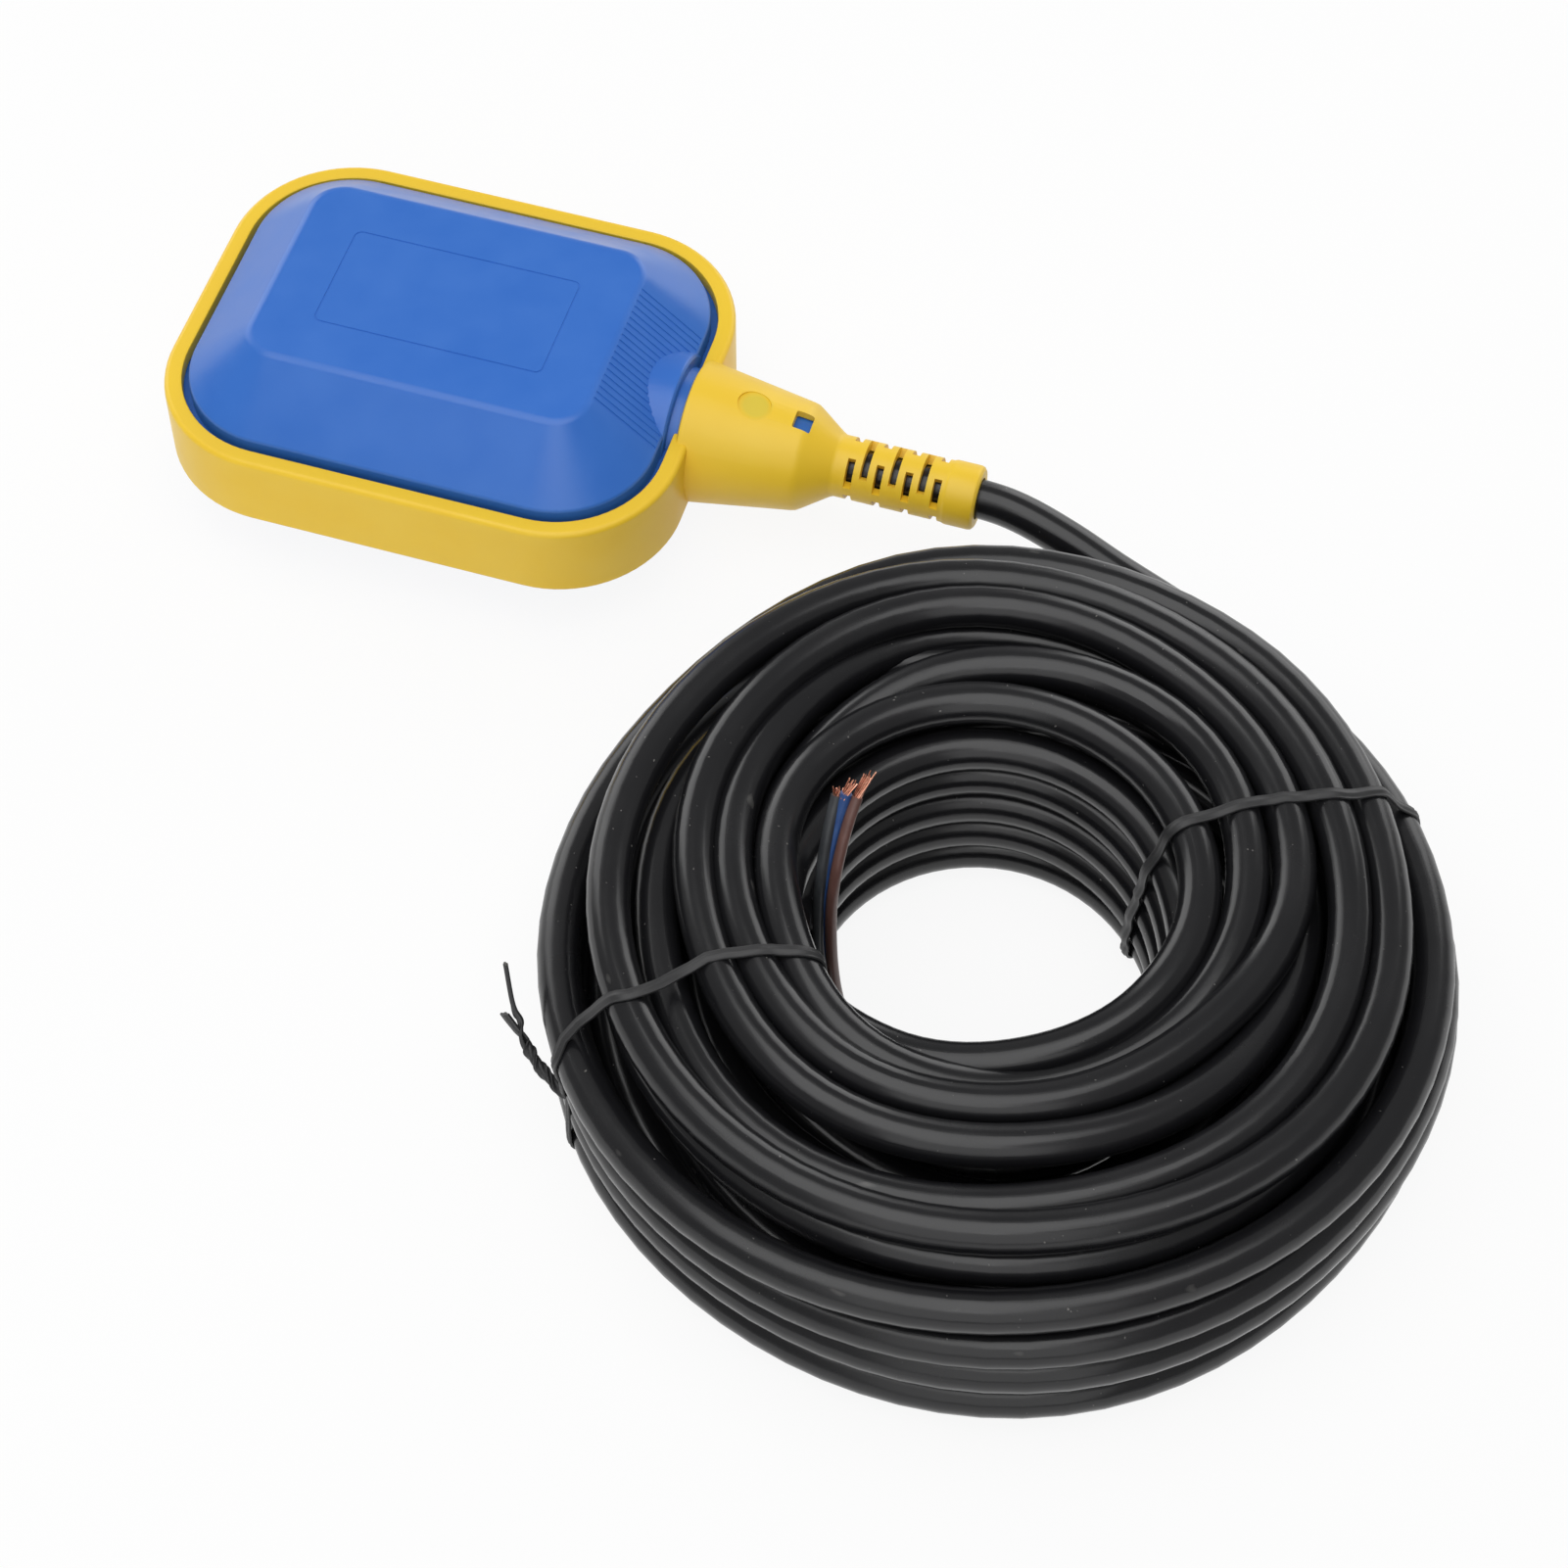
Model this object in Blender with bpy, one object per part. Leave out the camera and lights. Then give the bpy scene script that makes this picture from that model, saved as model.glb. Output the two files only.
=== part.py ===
"""Cable float switch: two blue shells in a yellow moulded frame, a tilt switch capsule and a coil of cable.

Metres, +Z up. The object stands on the lower shell, with its cable leaving towards +X.
Run it with: blender --background --python part.py
"""

import math

import bmesh
import bpy
from mathutils import Matrix, Vector

MM = 0.001

# Clearances
GAP = 0.3 * MM
RUNNING = 0.1 * MM

# Float body: room left inside the band before and behind the capsule
CAPSULE_LENGTH = 60.0 * MM
CAPSULE_ROOM = 16.6 * MM
CLAMP_ROOM = 26.6 * MM
BAND_LENGTH = CAPSULE_ROOM + CAPSULE_LENGTH + CLAMP_ROOM

# The yellow band's section and outline, and the blue shells above and below it
BAND_WIDTH = 80.0 * MM
BAND_HEIGHT = 17.1 * MM
BAND_RADIUS = 24.0 * MM
BAND_EDGE = 0.8 * MM
LIP_WIDTH = 3.5 * MM
LIP_HEIGHT = 2.75 * MM
SKIN = 1.6 * MM
FLOAT_HEIGHT = 41.7 * MM
GROOVE_WIDTH = 1.4 * MM
SHOULDER_RISE = 1.0 * MM
SLOPE_RUN = 12.7 * MM
PLATEAU_EDGE = 0.9 * MM
SHELL_WALL = 2.0 * MM

# Boss and nose that lead the cable out of the shells
BOSS_RADIUS = 14.6 * MM
BOSS_PROUD = 0.2 * MM
NOSE_RADIUS = 12.0 * MM
NOSE_TIP_RADIUS = 8.5 * MM
NOSE_LENGTH = 26.3 * MM
SEAL_POCKET_RADIUS = 8.0 * MM
SEAL_POCKET_LENGTH = 18.0 * MM
SEAL_LENGTH = 11.7 * MM

# Neck and strain relief, moulded in one with the band
NECK_SETBACK = 1.0 * MM
NECK_RADIUS = 13.9 * MM
NECK_END_RADIUS = 10.4 * MM
NECK_LENGTH = 23.4 * MM
CONE_LENGTH = 6.3 * MM
BOOT_RADIUS = 6.05 * MM
BOOT_LENGTH = 27.8 * MM
COLLAR_RADIUS = 6.3 * MM
COLLAR_LENGTH = 6.4 * MM
SLOT_WIDTH = 1.5 * MM
SLOT_PITCH = 5.7 * MM
SLOT_START = 3.0 * MM
SIDE_SLOT_RINGS = 4
SIDE_SLOT_ANGLES = (39.0, 141.0, 219.0, 321.0)
SIDE_SLOT_SPREAD = 58.0
TOP_SLOT_RINGS = 3
TOP_SLOT_ANGLES = (90.0, 270.0)
TOP_SLOT_SPREAD = 112.0
DIMPLE_RADIUS = 2.1 * MM
DIMPLE_DEPTH = 0.3 * MM
DIMPLE_PLACE = 12.4 * MM
WINDOW_LENGTH = 3.5 * MM
WINDOW_WIDTH = 4.2 * MM
WINDOW_PLACE = 22.2 * MM

# Grip grooves on the slope beside the boss
GRIP_COUNT = 20
GRIP_PITCH = 1.5 * MM
GRIP_WIDTH = 0.5 * MM
GRIP_DEPTH = 0.35 * MM

# Capsule with the ball track and the switch
CAPSULE_WIDTH = 35.0 * MM
CAPSULE_HEIGHT = 25.2 * MM
CAPSULE_WALL = 1.6 * MM
RIB_THICKNESS = 2.0 * MM
RIB_SPREAD = 36.0 * MM
RIB_WIDTH = 32.0 * MM
WIRE_SLOT_WIDTH = 8.0 * MM
WIRE_SLOT_HEIGHT = 10.0 * MM
BALL_RADIUS = 9.5 * MM
RAIL_CLEARANCE = 0.6 * MM
RAIL_THICKNESS = 1.2 * MM
RAIL_HEIGHT = 10.5 * MM
RAIL_SPACE = 5.3 * MM

# Lever, plunger and microswitch
PIVOT_SPACE = 26.5 * MM
PIVOT_RISE = 2.5 * MM
LEVER_THICKNESS = 1.0 * MM
LEVER_WIDTH = 8.0 * MM
LEVER_HEIGHT = 15.5 * MM
KNUCKLE_RADIUS = 1.8 * MM
PIN_RADIUS = 0.8 * MM
EAR_THICKNESS = 1.5 * MM
EAR_WIDTH = 5.0 * MM
EAR_CAP = 1.6 * MM
CONTACT_ARM = 12.5 * MM
PLUNGER_RADIUS = 1.0 * MM
PLUNGER_LENGTH = 6.0 * MM
PLUNGER_TRAVEL = 1.2 * MM
SWITCH_SPACE = 3.5 * MM
SWITCH_DEPTH = 10.2 * MM
SWITCH_WIDTH = 6.4 * MM
SWITCH_HEIGHT = 19.8 * MM
SWITCH_PIN_RADIUS = 1.0 * MM
SWITCH_PIN_LOW = -5.5 * MM
SWITCH_PIN_HIGH = 7.2 * MM
BRACKET_DEPTH = 6.0 * MM
BRACKET_TOP = 9.0 * MM
TERMINAL_LENGTH = 5.0 * MM
TERMINAL_HEIGHT = 2.4 * MM
TERMINAL_THICKNESS = 0.6 * MM
TERMINAL_PITCH = 7.0 * MM

# Cable clamp inside the float
CLAMP_SPACE = 3.5 * MM
CLAMP_LENGTH = 8.0 * MM
CLAMP_WIDTH = 24.0 * MM
CLAMP_HEIGHT = 6.2 * MM
CLAMP_SCREW_Y = 8.5 * MM
SCREW_RADIUS = 1.25 * MM
SCREW_HEAD_RADIUS = 2.6 * MM
SCREW_HEAD_HEIGHT = 1.6 * MM
SCREW_BITE = 5.0 * MM
PILLAR_RADIUS = 2.8 * MM
PILLAR_FOOT = 1.5 * MM

# Cable, its cores and the coil
CABLE_RADIUS = 3.8 * MM
CORE_RADIUS = 1.0 * MM
CORE_SPREAD = 1.54 * MM
CABLE_STUB = 1.0 * MM
STRAND_RADIUS = 0.7 * MM
STRAND_LENGTH = 5.5 * MM
COIL_CENTRE_X = 137.8 * MM
COIL_CENTRE_Y = -101.8 * MM
COIL_INNER = 29.0 * MM
COIL_OUTER = 80.0 * MM
COIL_HEIGHT = 47.0 * MM
COIL_CORNER = 10.0 * MM
TIE_WIDTH = 2.2 * MM
TIE_THICKNESS = 0.8 * MM
TIE_SINK = 0.1 * MM
TIE_LEFT_ANGLE = math.radians(-149.0)
TIE_RIGHT_ANGLE = math.radians(39.0)

# Routes, in millimetres from the middle of the band and above the floor
LEAD_POINTS = (
    (106.6, 0.0, 20.85),
    (115.0, -0.9, 20.5),
    (125.0, -3.0, 18.5),
    (135.0, -5.6, 15.8),
    (146.0, -8.6, 13.6),
    (156.0, -12.4, 12.6),
    (167.0, -18.7, 13.2),
    (177.25, -27.55, 15.0),
)
# Angle in degrees, radius and height in millimetres, round the middle of the coil
BROWN_POINTS = (
    (-166.0, 26.6, 6.0),
    (-171.0, 27.0, 14.0),
    (-175.5, 27.2, 24.0),
    (179.5, 27.2, 33.0),
    (172.0, 27.8, 40.5),
    (163.0, 29.3, 45.5),
    (156.0, 30.4, 48.0),
)
BLUE_POINTS = (
    (-161.5, 26.6, 6.0),
    (-166.3, 27.0, 14.6),
    (-170.8, 27.2, 24.6),
    (-175.5, 27.2, 33.6),
    (176.5, 27.6, 41.5),
    (168.0, 28.9, 47.0),
    (161.0, 29.9, 49.5),
)
BLACK_POINTS = (
    (-157.0, 26.6, 6.0),
    (-161.6, 27.0, 15.2),
    (-166.1, 27.2, 25.2),
    (-170.3, 27.2, 34.4),
    (-177.2, 27.5, 42.6),
    (174.8, 28.6, 48.2),
    (168.3, 29.5, 50.8),
)

# Derived from the sizes above
HALF_HEIGHT = FLOAT_HEIGHT / 2
BAND_TOP = BAND_HEIGHT / 2
LIP_UNDERSIDE = BAND_TOP - LIP_HEIGHT
FLANGE_TOP = LIP_UNDERSIDE - GAP
FLANGE_INSET = SKIN + GAP
FOOT_INSET = LIP_WIDTH + GROOVE_WIDTH
FOOT_X = BAND_LENGTH / 2 - FOOT_INSET
SHOULDER_Z = BAND_TOP + SHOULDER_RISE
SLOPE_ANGLE = math.atan2(HALF_HEIGHT - SHOULDER_Z, SLOPE_RUN)
NECK_X = BAND_LENGTH / 2 - LIP_WIDTH + NECK_SETBACK
NECK_END_X = NECK_X + NECK_LENGTH
BOOT_X = NECK_END_X + CONE_LENGTH
BOOT_END_X = BOOT_X + BOOT_LENGTH
NOSE_END_X = FOOT_X + NOSE_LENGTH
CABLE_BORE = CABLE_RADIUS + GAP
FLOAT_X = (BAND_LENGTH / 2 - BOOT_END_X) / 2
CAPSULE_END = CAPSULE_LENGTH / 2
CAPSULE_X = CAPSULE_ROOM + CAPSULE_END - BAND_LENGTH / 2
CAPSULE_TOP = CAPSULE_HEIGHT / 2
CAPSULE_FLOOR = CAPSULE_WALL - CAPSULE_TOP
BALL_X = CAPSULE_WALL + GAP + BALL_RADIUS - CAPSULE_END
PIVOT_X = CAPSULE_END - PIVOT_SPACE
SWITCH_X = PIVOT_X + SWITCH_SPACE
CLAMP_X = CAPSULE_X + CAPSULE_END + CLAMP_SPACE + CLAMP_LENGTH / 2
CABLE_END_X = CLAMP_X - CLAMP_LENGTH / 2 - CABLE_STUB
PIVOT_Z = CAPSULE_FLOOR + PIVOT_RISE
CONTACT_Z = PIVOT_Z + CONTACT_ARM
PLUNGER_X = PIVOT_X + LEVER_THICKNESS / 2 + GAP
LEAD_START = Vector((CABLE_END_X, 0.0, HALF_HEIGHT))

ROUND_STEPS = 40
CORNER_STEPS = 8


def clear_scene():
    """Remove whatever the file opened with."""
    for obj in list(bpy.data.objects):
        bpy.data.objects.remove(obj, do_unlink=True)


def linear(hex_colour):
    """Turn an sRGB hex colour into linear values."""
    parts = [int(hex_colour[i : i + 2], 16) / 255 for i in (1, 3, 5)]
    return [c / 12.92 if c <= 0.04045 else ((c + 0.055) / 1.055) ** 2.4 for c in parts]


def principled(name, hex_colour, roughness, metallic=0.0):
    """Make a plain Principled material."""
    material = bpy.data.materials.new(name)
    material.use_nodes = True
    shader = material.node_tree.nodes["Principled BSDF"]
    shader.inputs["Base Color"].default_value = (*linear(hex_colour), 1.0)
    shader.inputs["Roughness"].default_value = roughness
    shader.inputs["Metallic"].default_value = metallic
    return material


def datum(name, location):
    """Add an empty that carries a group of pieces."""
    empty = bpy.data.objects.new(name, None)
    empty.location = location
    bpy.context.collection.objects.link(empty)
    return empty


def smooth(obj, angle=35.0):
    """Shade round faces smooth and keep real edges sharp."""
    obj.data.shade_smooth()
    obj.data.set_sharp_from_angle(angle=math.radians(angle))


def add_mesh(name, bm, parent=None, material=None):
    """Turn a bmesh into an object with its faces outward."""
    bmesh.ops.recalc_face_normals(bm, faces=bm.faces)
    mesh = bpy.data.meshes.new(name)
    bm.to_mesh(mesh)
    bm.free()
    obj = bpy.data.objects.new(name, mesh)
    obj.parent = parent
    if material:
        mesh.materials.append(material)
    bpy.context.collection.objects.link(obj)
    smooth(obj)
    return obj


def add_cutter(name, bm, parent):
    """Add a helper that only shapes other pieces."""
    obj = add_mesh(name, bm, parent)
    obj.hide_render = True
    obj.display_type = "WIRE"
    return obj


def combine(target, tool, operation, solver="EXACT"):
    """Cut the tool from the target, or join it to the target."""
    modifier = target.modifiers.new(tool.name, "BOOLEAN")
    modifier.operation = operation
    modifier.solver = solver
    modifier.object = tool


def loft(rings, closed=False):
    """Skin a row of equal rings: capped at both ends, or closed on itself."""
    bm = bmesh.new()
    rows = [[bm.verts.new(point) for point in ring] for ring in rings]
    pairs = list(zip(rows, rows[1:]))
    if closed:
        pairs.append((rows[-1], rows[0]))
    for lower, upper in pairs:
        for i in range(len(lower)):
            j = (i + 1) % len(lower)
            bm.faces.new((lower[i], lower[j], upper[j], upper[i]))
    if not closed:
        bm.faces.new(rows[0])
        bm.faces.new(rows[-1])
    return bm


def band_outline(inset, z):
    """The band's rounded outline, moved inward by an inset, at a height."""
    half_x = BAND_LENGTH / 2 - inset
    half_y = BAND_WIDTH / 2 - inset
    radius = BAND_RADIUS - inset
    points = []
    for quarter, (sx, sy) in enumerate(((1, 1), (-1, 1), (-1, -1), (1, -1))):
        for step in range(CORNER_STEPS + 1):
            angle = math.radians(90 * (quarter + step / CORNER_STEPS))
            x = sx * (half_x - radius) + radius * math.cos(angle)
            y = sy * (half_y - radius) + radius * math.sin(angle)
            points.append((x, y, z))
    return points


def circle_about_x(x, radius, steps=ROUND_STEPS):
    """A circle square to the cable's axis."""
    angles = [2 * math.pi * i / steps for i in range(steps)]
    return [(x, radius * math.cos(a), radius * math.sin(a)) for a in angles]


def turned_about_x(profile, steps=ROUND_STEPS):
    """A solid turned round the cable's axis from (x, radius) pairs."""
    return loft([circle_about_x(x, radius, steps) for x, radius in profile])


def turned_tube_about_x(start, end, inner, outer, steps=ROUND_STEPS):
    """A plain sleeve round the cable's axis."""
    corners = ((start, inner), (start, outer), (end, outer), (end, inner))
    return loft([circle_about_x(x, radius, steps) for x, radius in corners], closed=True)


def add_box(bm, low, high):
    """Add a box between two corners."""
    size = [b - a for a, b in zip(low, high)]
    centre = [(a + b) / 2 for a, b in zip(low, high)]
    matrix = Matrix.Translation(centre) @ Matrix.Diagonal((*size, 1.0))
    bmesh.ops.create_cube(bm, size=1.0, matrix=matrix)


def box(low, high):
    """A box between two corners."""
    bm = bmesh.new()
    add_box(bm, low, high)
    return bm


def add_rod(bm, start, end, radius, steps=24):
    """Add a round rod between two points."""
    start = Vector(start)
    along = Vector(end) - start
    turn = along.to_track_quat("Z", "Y").to_matrix().to_4x4()
    matrix = Matrix.Translation(start + along / 2) @ turn
    bmesh.ops.create_cone(
        bm,
        cap_ends=True,
        segments=steps,
        radius1=radius,
        radius2=radius,
        depth=along.length,
        matrix=matrix,
    )


def rod(start, end, radius, steps=24):
    """A round rod between two points."""
    bm = bmesh.new()
    add_rod(bm, start, end, radius, steps)
    return bm


def smooth_route(points, spacing):
    """Read even points from a smooth curve through hand-chosen ones."""
    points = [Vector(p) for p in points]
    padded = [2 * points[0] - points[1], *points, 2 * points[-1] - points[-2]]
    fine = []
    for a, b, c, d in zip(padded, padded[1:], padded[2:], padded[3:]):
        for step in range(20):
            t = step / 20
            bend = (2 * a - 5 * b + 4 * c - d) * t * t + (3 * b - a - 3 * c + d) * t * t * t
            fine.append(b + 0.5 * ((c - a) * t + bend))
    fine.append(points[-1])
    lengths = [0.0]
    for a, b in zip(fine, fine[1:]):
        lengths.append(lengths[-1] + (b - a).length)
    count = max(2, round(lengths[-1] / spacing))
    even = []
    place = 0
    for i in range(count + 1):
        wanted = lengths[-1] * i / count
        while place < len(fine) - 2 and lengths[place + 1] < wanted:
            place += 1
        share = (wanted - lengths[place]) / (lengths[place + 1] - lengths[place])
        even.append(fine[place].lerp(fine[place + 1], min(share, 1.0)))
    return even


def add_tube(name, points, radius, parent, material, resolution=2):
    """Add a round tube along points, with filled ends."""
    curve = bpy.data.curves.new(name, "CURVE")
    curve.dimensions = "3D"
    curve.bevel_depth = radius
    curve.bevel_resolution = resolution
    curve.use_fill_caps = True
    spline = curve.splines.new("POLY")
    spline.points.add(len(points) - 1)
    for target, point in zip(spline.points, points):
        target.co = (*point, 1.0)
    spline.use_smooth = True
    curve.materials.append(material)
    obj = bpy.data.objects.new(name, curve)
    obj.parent = parent
    bpy.context.collection.objects.link(obj)
    return obj


def neck_radius(x):
    """The neck's outer radius at a place along it."""
    share = (x - NECK_X) / NECK_LENGTH
    return NECK_RADIUS + share * (NECK_END_RADIUS - NECK_RADIUS)


def nose_radius(x):
    """The nose's outer radius at a place along it."""
    share = (x - FOOT_X) / NOSE_LENGTH
    return NOSE_RADIUS + share * (NOSE_TIP_RADIUS - NOSE_RADIUS)


# Yellow frame: band, neck and slotted strain relief in one moulding


def band_ring():
    """The band, swept round its outline from one closed section."""
    top = BAND_TOP
    side = top - BAND_EDGE
    chamfer = BAND_EDGE * (1 - math.sqrt(0.5))
    upper = (
        (0.0, side),
        (chamfer, top - chamfer),
        (BAND_EDGE, top),
        (LIP_WIDTH, top),
        (LIP_WIDTH, LIP_UNDERSIDE),
        (SKIN, LIP_UNDERSIDE),
    )
    section = [*upper, *((inset, -z) for inset, z in reversed(upper))]
    return loft([band_outline(inset, z) for inset, z in section], closed=True)


def neck_and_boot():
    """The neck, its end cone and the strain relief as one turned solid."""
    collar_x = BOOT_END_X - COLLAR_LENGTH
    profile = (
        (NECK_X, NECK_RADIUS),
        (NECK_END_X, NECK_END_RADIUS),
        (BOOT_X, BOOT_RADIUS),
        (collar_x, BOOT_RADIUS),
        (collar_x + BAND_EDGE, COLLAR_RADIUS),
        (BOOT_END_X - BAND_EDGE, COLLAR_RADIUS),
        (BOOT_END_X, COLLAR_RADIUS - BAND_EDGE),
    )
    return turned_about_x(profile)


def frame_bore():
    """The room for the shells' nose, and the cable's bore behind it."""
    start = NECK_X - LIP_WIDTH
    tip = NOSE_END_X + GAP
    profile = (
        (start, nose_radius(start) + GAP),
        (tip, NOSE_TIP_RADIUS + GAP),
        (tip, CABLE_BORE),
        (BOOT_END_X + LIP_WIDTH, CABLE_BORE),
    )
    return turned_about_x(profile)


def flange_room():
    """The shells' flange passes the neck's root here, inside the band."""
    half_y = BAND_WIDTH / 2 - BAND_RADIUS
    low = (NECK_X - LIP_WIDTH, -half_y, -LIP_UNDERSIDE)
    return box(low, (BAND_LENGTH / 2 - SKIN, half_y, LIP_UNDERSIDE))


def add_slot(bm, x, middle, half_angle):
    """Add one slot cutter: a thick slice of arc round the cable."""
    steps = 8
    inner = CABLE_BORE - GAP
    outer = COLLAR_RADIUS + SLOT_WIDTH
    angles = [middle - half_angle + 2 * half_angle * i / steps for i in range(steps + 1)]
    arc = [(inner * math.cos(a), inner * math.sin(a)) for a in angles]
    arc += [(outer * math.cos(a), outer * math.sin(a)) for a in reversed(angles)]
    faces = []
    for face_x in (x - SLOT_WIDTH / 2, x + SLOT_WIDTH / 2):
        faces.append([bm.verts.new((face_x, y, z)) for y, z in arc])
    front, back = faces
    bm.faces.new(front)
    bm.faces.new(back)
    for i in range(len(arc)):
        j = (i + 1) % len(arc)
        bm.faces.new((front[i], front[j], back[j], back[i]))


def boot_slots():
    """Staggered rings of slots: four to a ring, then one above and one below."""
    bm = bmesh.new()
    for ring in range(SIDE_SLOT_RINGS):
        x = BOOT_X + SLOT_START + ring * SLOT_PITCH
        for middle in SIDE_SLOT_ANGLES:
            add_slot(bm, x, math.radians(middle), math.radians(SIDE_SLOT_SPREAD / 2))
    for ring in range(TOP_SLOT_RINGS):
        x = BOOT_X + SLOT_START + (ring + 0.5) * SLOT_PITCH
        for middle in TOP_SLOT_ANGLES:
            add_slot(bm, x, math.radians(middle), math.radians(TOP_SLOT_SPREAD / 2))
    return bm


def neck_marks():
    """The round dimple and the square window, above and below the neck."""
    bm = bmesh.new()
    dimple_x = NECK_X + DIMPLE_PLACE
    floor = neck_radius(dimple_x) - DIMPLE_DEPTH
    window_x = NECK_X + WINDOW_PLACE
    for side in (1, -1):
        top = side * 2 * NECK_RADIUS
        add_rod(bm, (dimple_x, 0, side * floor), (dimple_x, 0, top), DIMPLE_RADIUS)
        low = (window_x - WINDOW_LENGTH / 2, -WINDOW_WIDTH / 2, min(side * CABLE_BORE, top))
        high = (window_x + WINDOW_LENGTH / 2, WINDOW_WIDTH / 2, max(side * CABLE_BORE, top))
        add_box(bm, low, high)
    return bm


def yellow_frame(parent, material):
    """The one-piece yellow moulding."""
    frame = add_mesh("yellow_frame", band_ring(), parent, material)
    combine(frame, add_cutter("neck_body", neck_and_boot(), parent), "UNION")
    combine(frame, add_cutter("flange_room", flange_room(), parent), "DIFFERENCE")
    combine(frame, add_cutter("neck_bore", frame_bore(), parent), "DIFFERENCE")
    combine(frame, add_cutter("boot_slots", boot_slots(), parent), "DIFFERENCE")
    combine(frame, add_cutter("neck_marks", neck_marks(), parent), "DIFFERENCE")
    return frame


# Blue shells: the same moulding above and below, the lower one with pillars for the clamp


def shell_body():
    """A shell's outside, from its flange up to the flat top."""
    top_inset = FOOT_INSET + SLOPE_RUN
    run = PLATEAU_EDGE * math.cos(SLOPE_ANGLE)
    drop = PLATEAU_EDGE * math.sin(SLOPE_ANGLE)
    profile = (
        (FLANGE_INSET, -GAP),
        (FLANGE_INSET, FLANGE_TOP),
        (FOOT_INSET, FLANGE_TOP),
        (FOOT_INSET, SHOULDER_Z),
        (top_inset - run, HALF_HEIGHT - drop),
        (top_inset + PLATEAU_EDGE, HALF_HEIGHT),
    )
    return loft([band_outline(inset, z) for inset, z in profile])


def shell_cavity():
    """A shell's inside, one wall in from its outside."""
    cosecant = 1 / math.sin(SLOPE_ANGLE)
    cotangent = 1 / math.tan(SLOPE_ANGLE)
    knee = SHOULDER_Z - SHELL_WALL * (cosecant - 1) / cotangent
    top_inset = FOOT_INSET + SLOPE_RUN + SHELL_WALL * (cosecant - cotangent)
    profile = (
        (FOOT_INSET + SHELL_WALL, -2 * GAP),
        (FOOT_INSET + SHELL_WALL, knee),
        (top_inset, HALF_HEIGHT - SHELL_WALL),
    )
    return loft([band_outline(inset, z) for inset, z in profile])


def boss_and_nose():
    """The round boss on the slope and the nose that plugs into the neck."""
    boss_end = FOOT_X + BOSS_PROUD
    profile = (
        (FOOT_X - SLOPE_RUN, BOSS_RADIUS),
        (boss_end, BOSS_RADIUS),
        (boss_end, nose_radius(boss_end)),
        (NOSE_END_X, NOSE_TIP_RADIUS),
    )
    return turned_about_x(profile)


def nose_channel():
    """The way for the cable: boss, seal pocket and tip bore."""
    pocket_end = FOOT_X - SHELL_WALL + SEAL_POCKET_LENGTH
    profile = (
        (FOOT_X - SLOPE_RUN - SHELL_WALL, BOSS_RADIUS - SHELL_WALL),
        (FOOT_X - SHELL_WALL, BOSS_RADIUS - SHELL_WALL),
        (FOOT_X - SHELL_WALL, SEAL_POCKET_RADIUS),
        (pocket_end, SEAL_POCKET_RADIUS),
        (pocket_end, CABLE_BORE),
        (NOSE_END_X + SHELL_WALL, CABLE_BORE),
    )
    return turned_about_x(profile)


def grip_grooves():
    """Fine grooves that run down the slope beside the boss."""
    bm = bmesh.new()
    length = SLOPE_RUN / math.cos(SLOPE_ANGLE) - 2 * PLATEAU_EDGE
    middle_x = FOOT_X - SLOPE_RUN / 2
    middle_z = (SHOULDER_Z + HALF_HEIGHT) / 2
    tilt = Matrix.Rotation(SLOPE_ANGLE, 4, "Y")
    for i in range(GRIP_COUNT):
        y = (i - (GRIP_COUNT - 1) / 2) * GRIP_PITCH
        place = Matrix.Translation((middle_x, y, middle_z)) @ tilt
        size = Matrix.Diagonal((length, GRIP_WIDTH, 2 * GRIP_DEPTH, 1.0))
        bmesh.ops.create_cube(bm, size=1.0, matrix=place @ size)
    return bm


def capsule_ribs():
    """Two ribs that hold the capsule off the shell's flat wall."""
    bm = bmesh.new()
    for side in (-1, 1):
        x = CAPSULE_X + side * RIB_SPREAD / 2
        low = (x - RIB_THICKNESS / 2, -RIB_WIDTH / 2, CAPSULE_TOP + GAP)
        high = (x + RIB_THICKNESS / 2, RIB_WIDTH / 2, HALF_HEIGHT - SHELL_WALL / 2)
        add_box(bm, low, high)
    return bm


def clamp_pillars():
    """Two pillars that carry the cable clamp."""
    bm = bmesh.new()
    for side in (-1, 1):
        y = side * CLAMP_SCREW_Y
        foot = (CLAMP_X, y, HALF_HEIGHT - PILLAR_FOOT)
        add_rod(bm, foot, (CLAMP_X, y, CLAMP_HEIGHT + GAP), PILLAR_RADIUS)
    return bm


def pillar_holes():
    """Blind holes for the clamp's screws."""
    bm = bmesh.new()
    for side in (-1, 1):
        y = side * CLAMP_SCREW_Y
        bottom = (CLAMP_X, y, CLAMP_HEIGHT + GAP + SCREW_BITE + GAP)
        add_rod(bm, bottom, (CLAMP_X, y, 0), SCREW_RADIUS + RUNNING)
    return bm


def blue_shell(name, parent, material):
    """One half of the blue body, flat side down in its parent's space."""
    shell = add_mesh(name, shell_body(), parent, material)
    far_half = box((-BAND_LENGTH, -BAND_WIDTH, -FLOAT_HEIGHT), (BAND_LENGTH, BAND_WIDTH, GAP / 2))
    tools = (
        ("grip_grooves", grip_grooves(), "DIFFERENCE", "EXACT"),
        ("boss_and_nose", boss_and_nose(), "UNION", "MANIFOLD"),
        ("cavity", shell_cavity(), "DIFFERENCE", "EXACT"),
        ("channel", nose_channel(), "DIFFERENCE", "EXACT"),
        ("far_half", far_half, "DIFFERENCE", "EXACT"),
        ("ribs", capsule_ribs(), "UNION", "EXACT"),
    )
    for tool_name, bm, operation, solver in tools:
        combine(shell, add_cutter(f"{name}_{tool_name}", bm, parent), operation, solver)
    return shell


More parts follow.
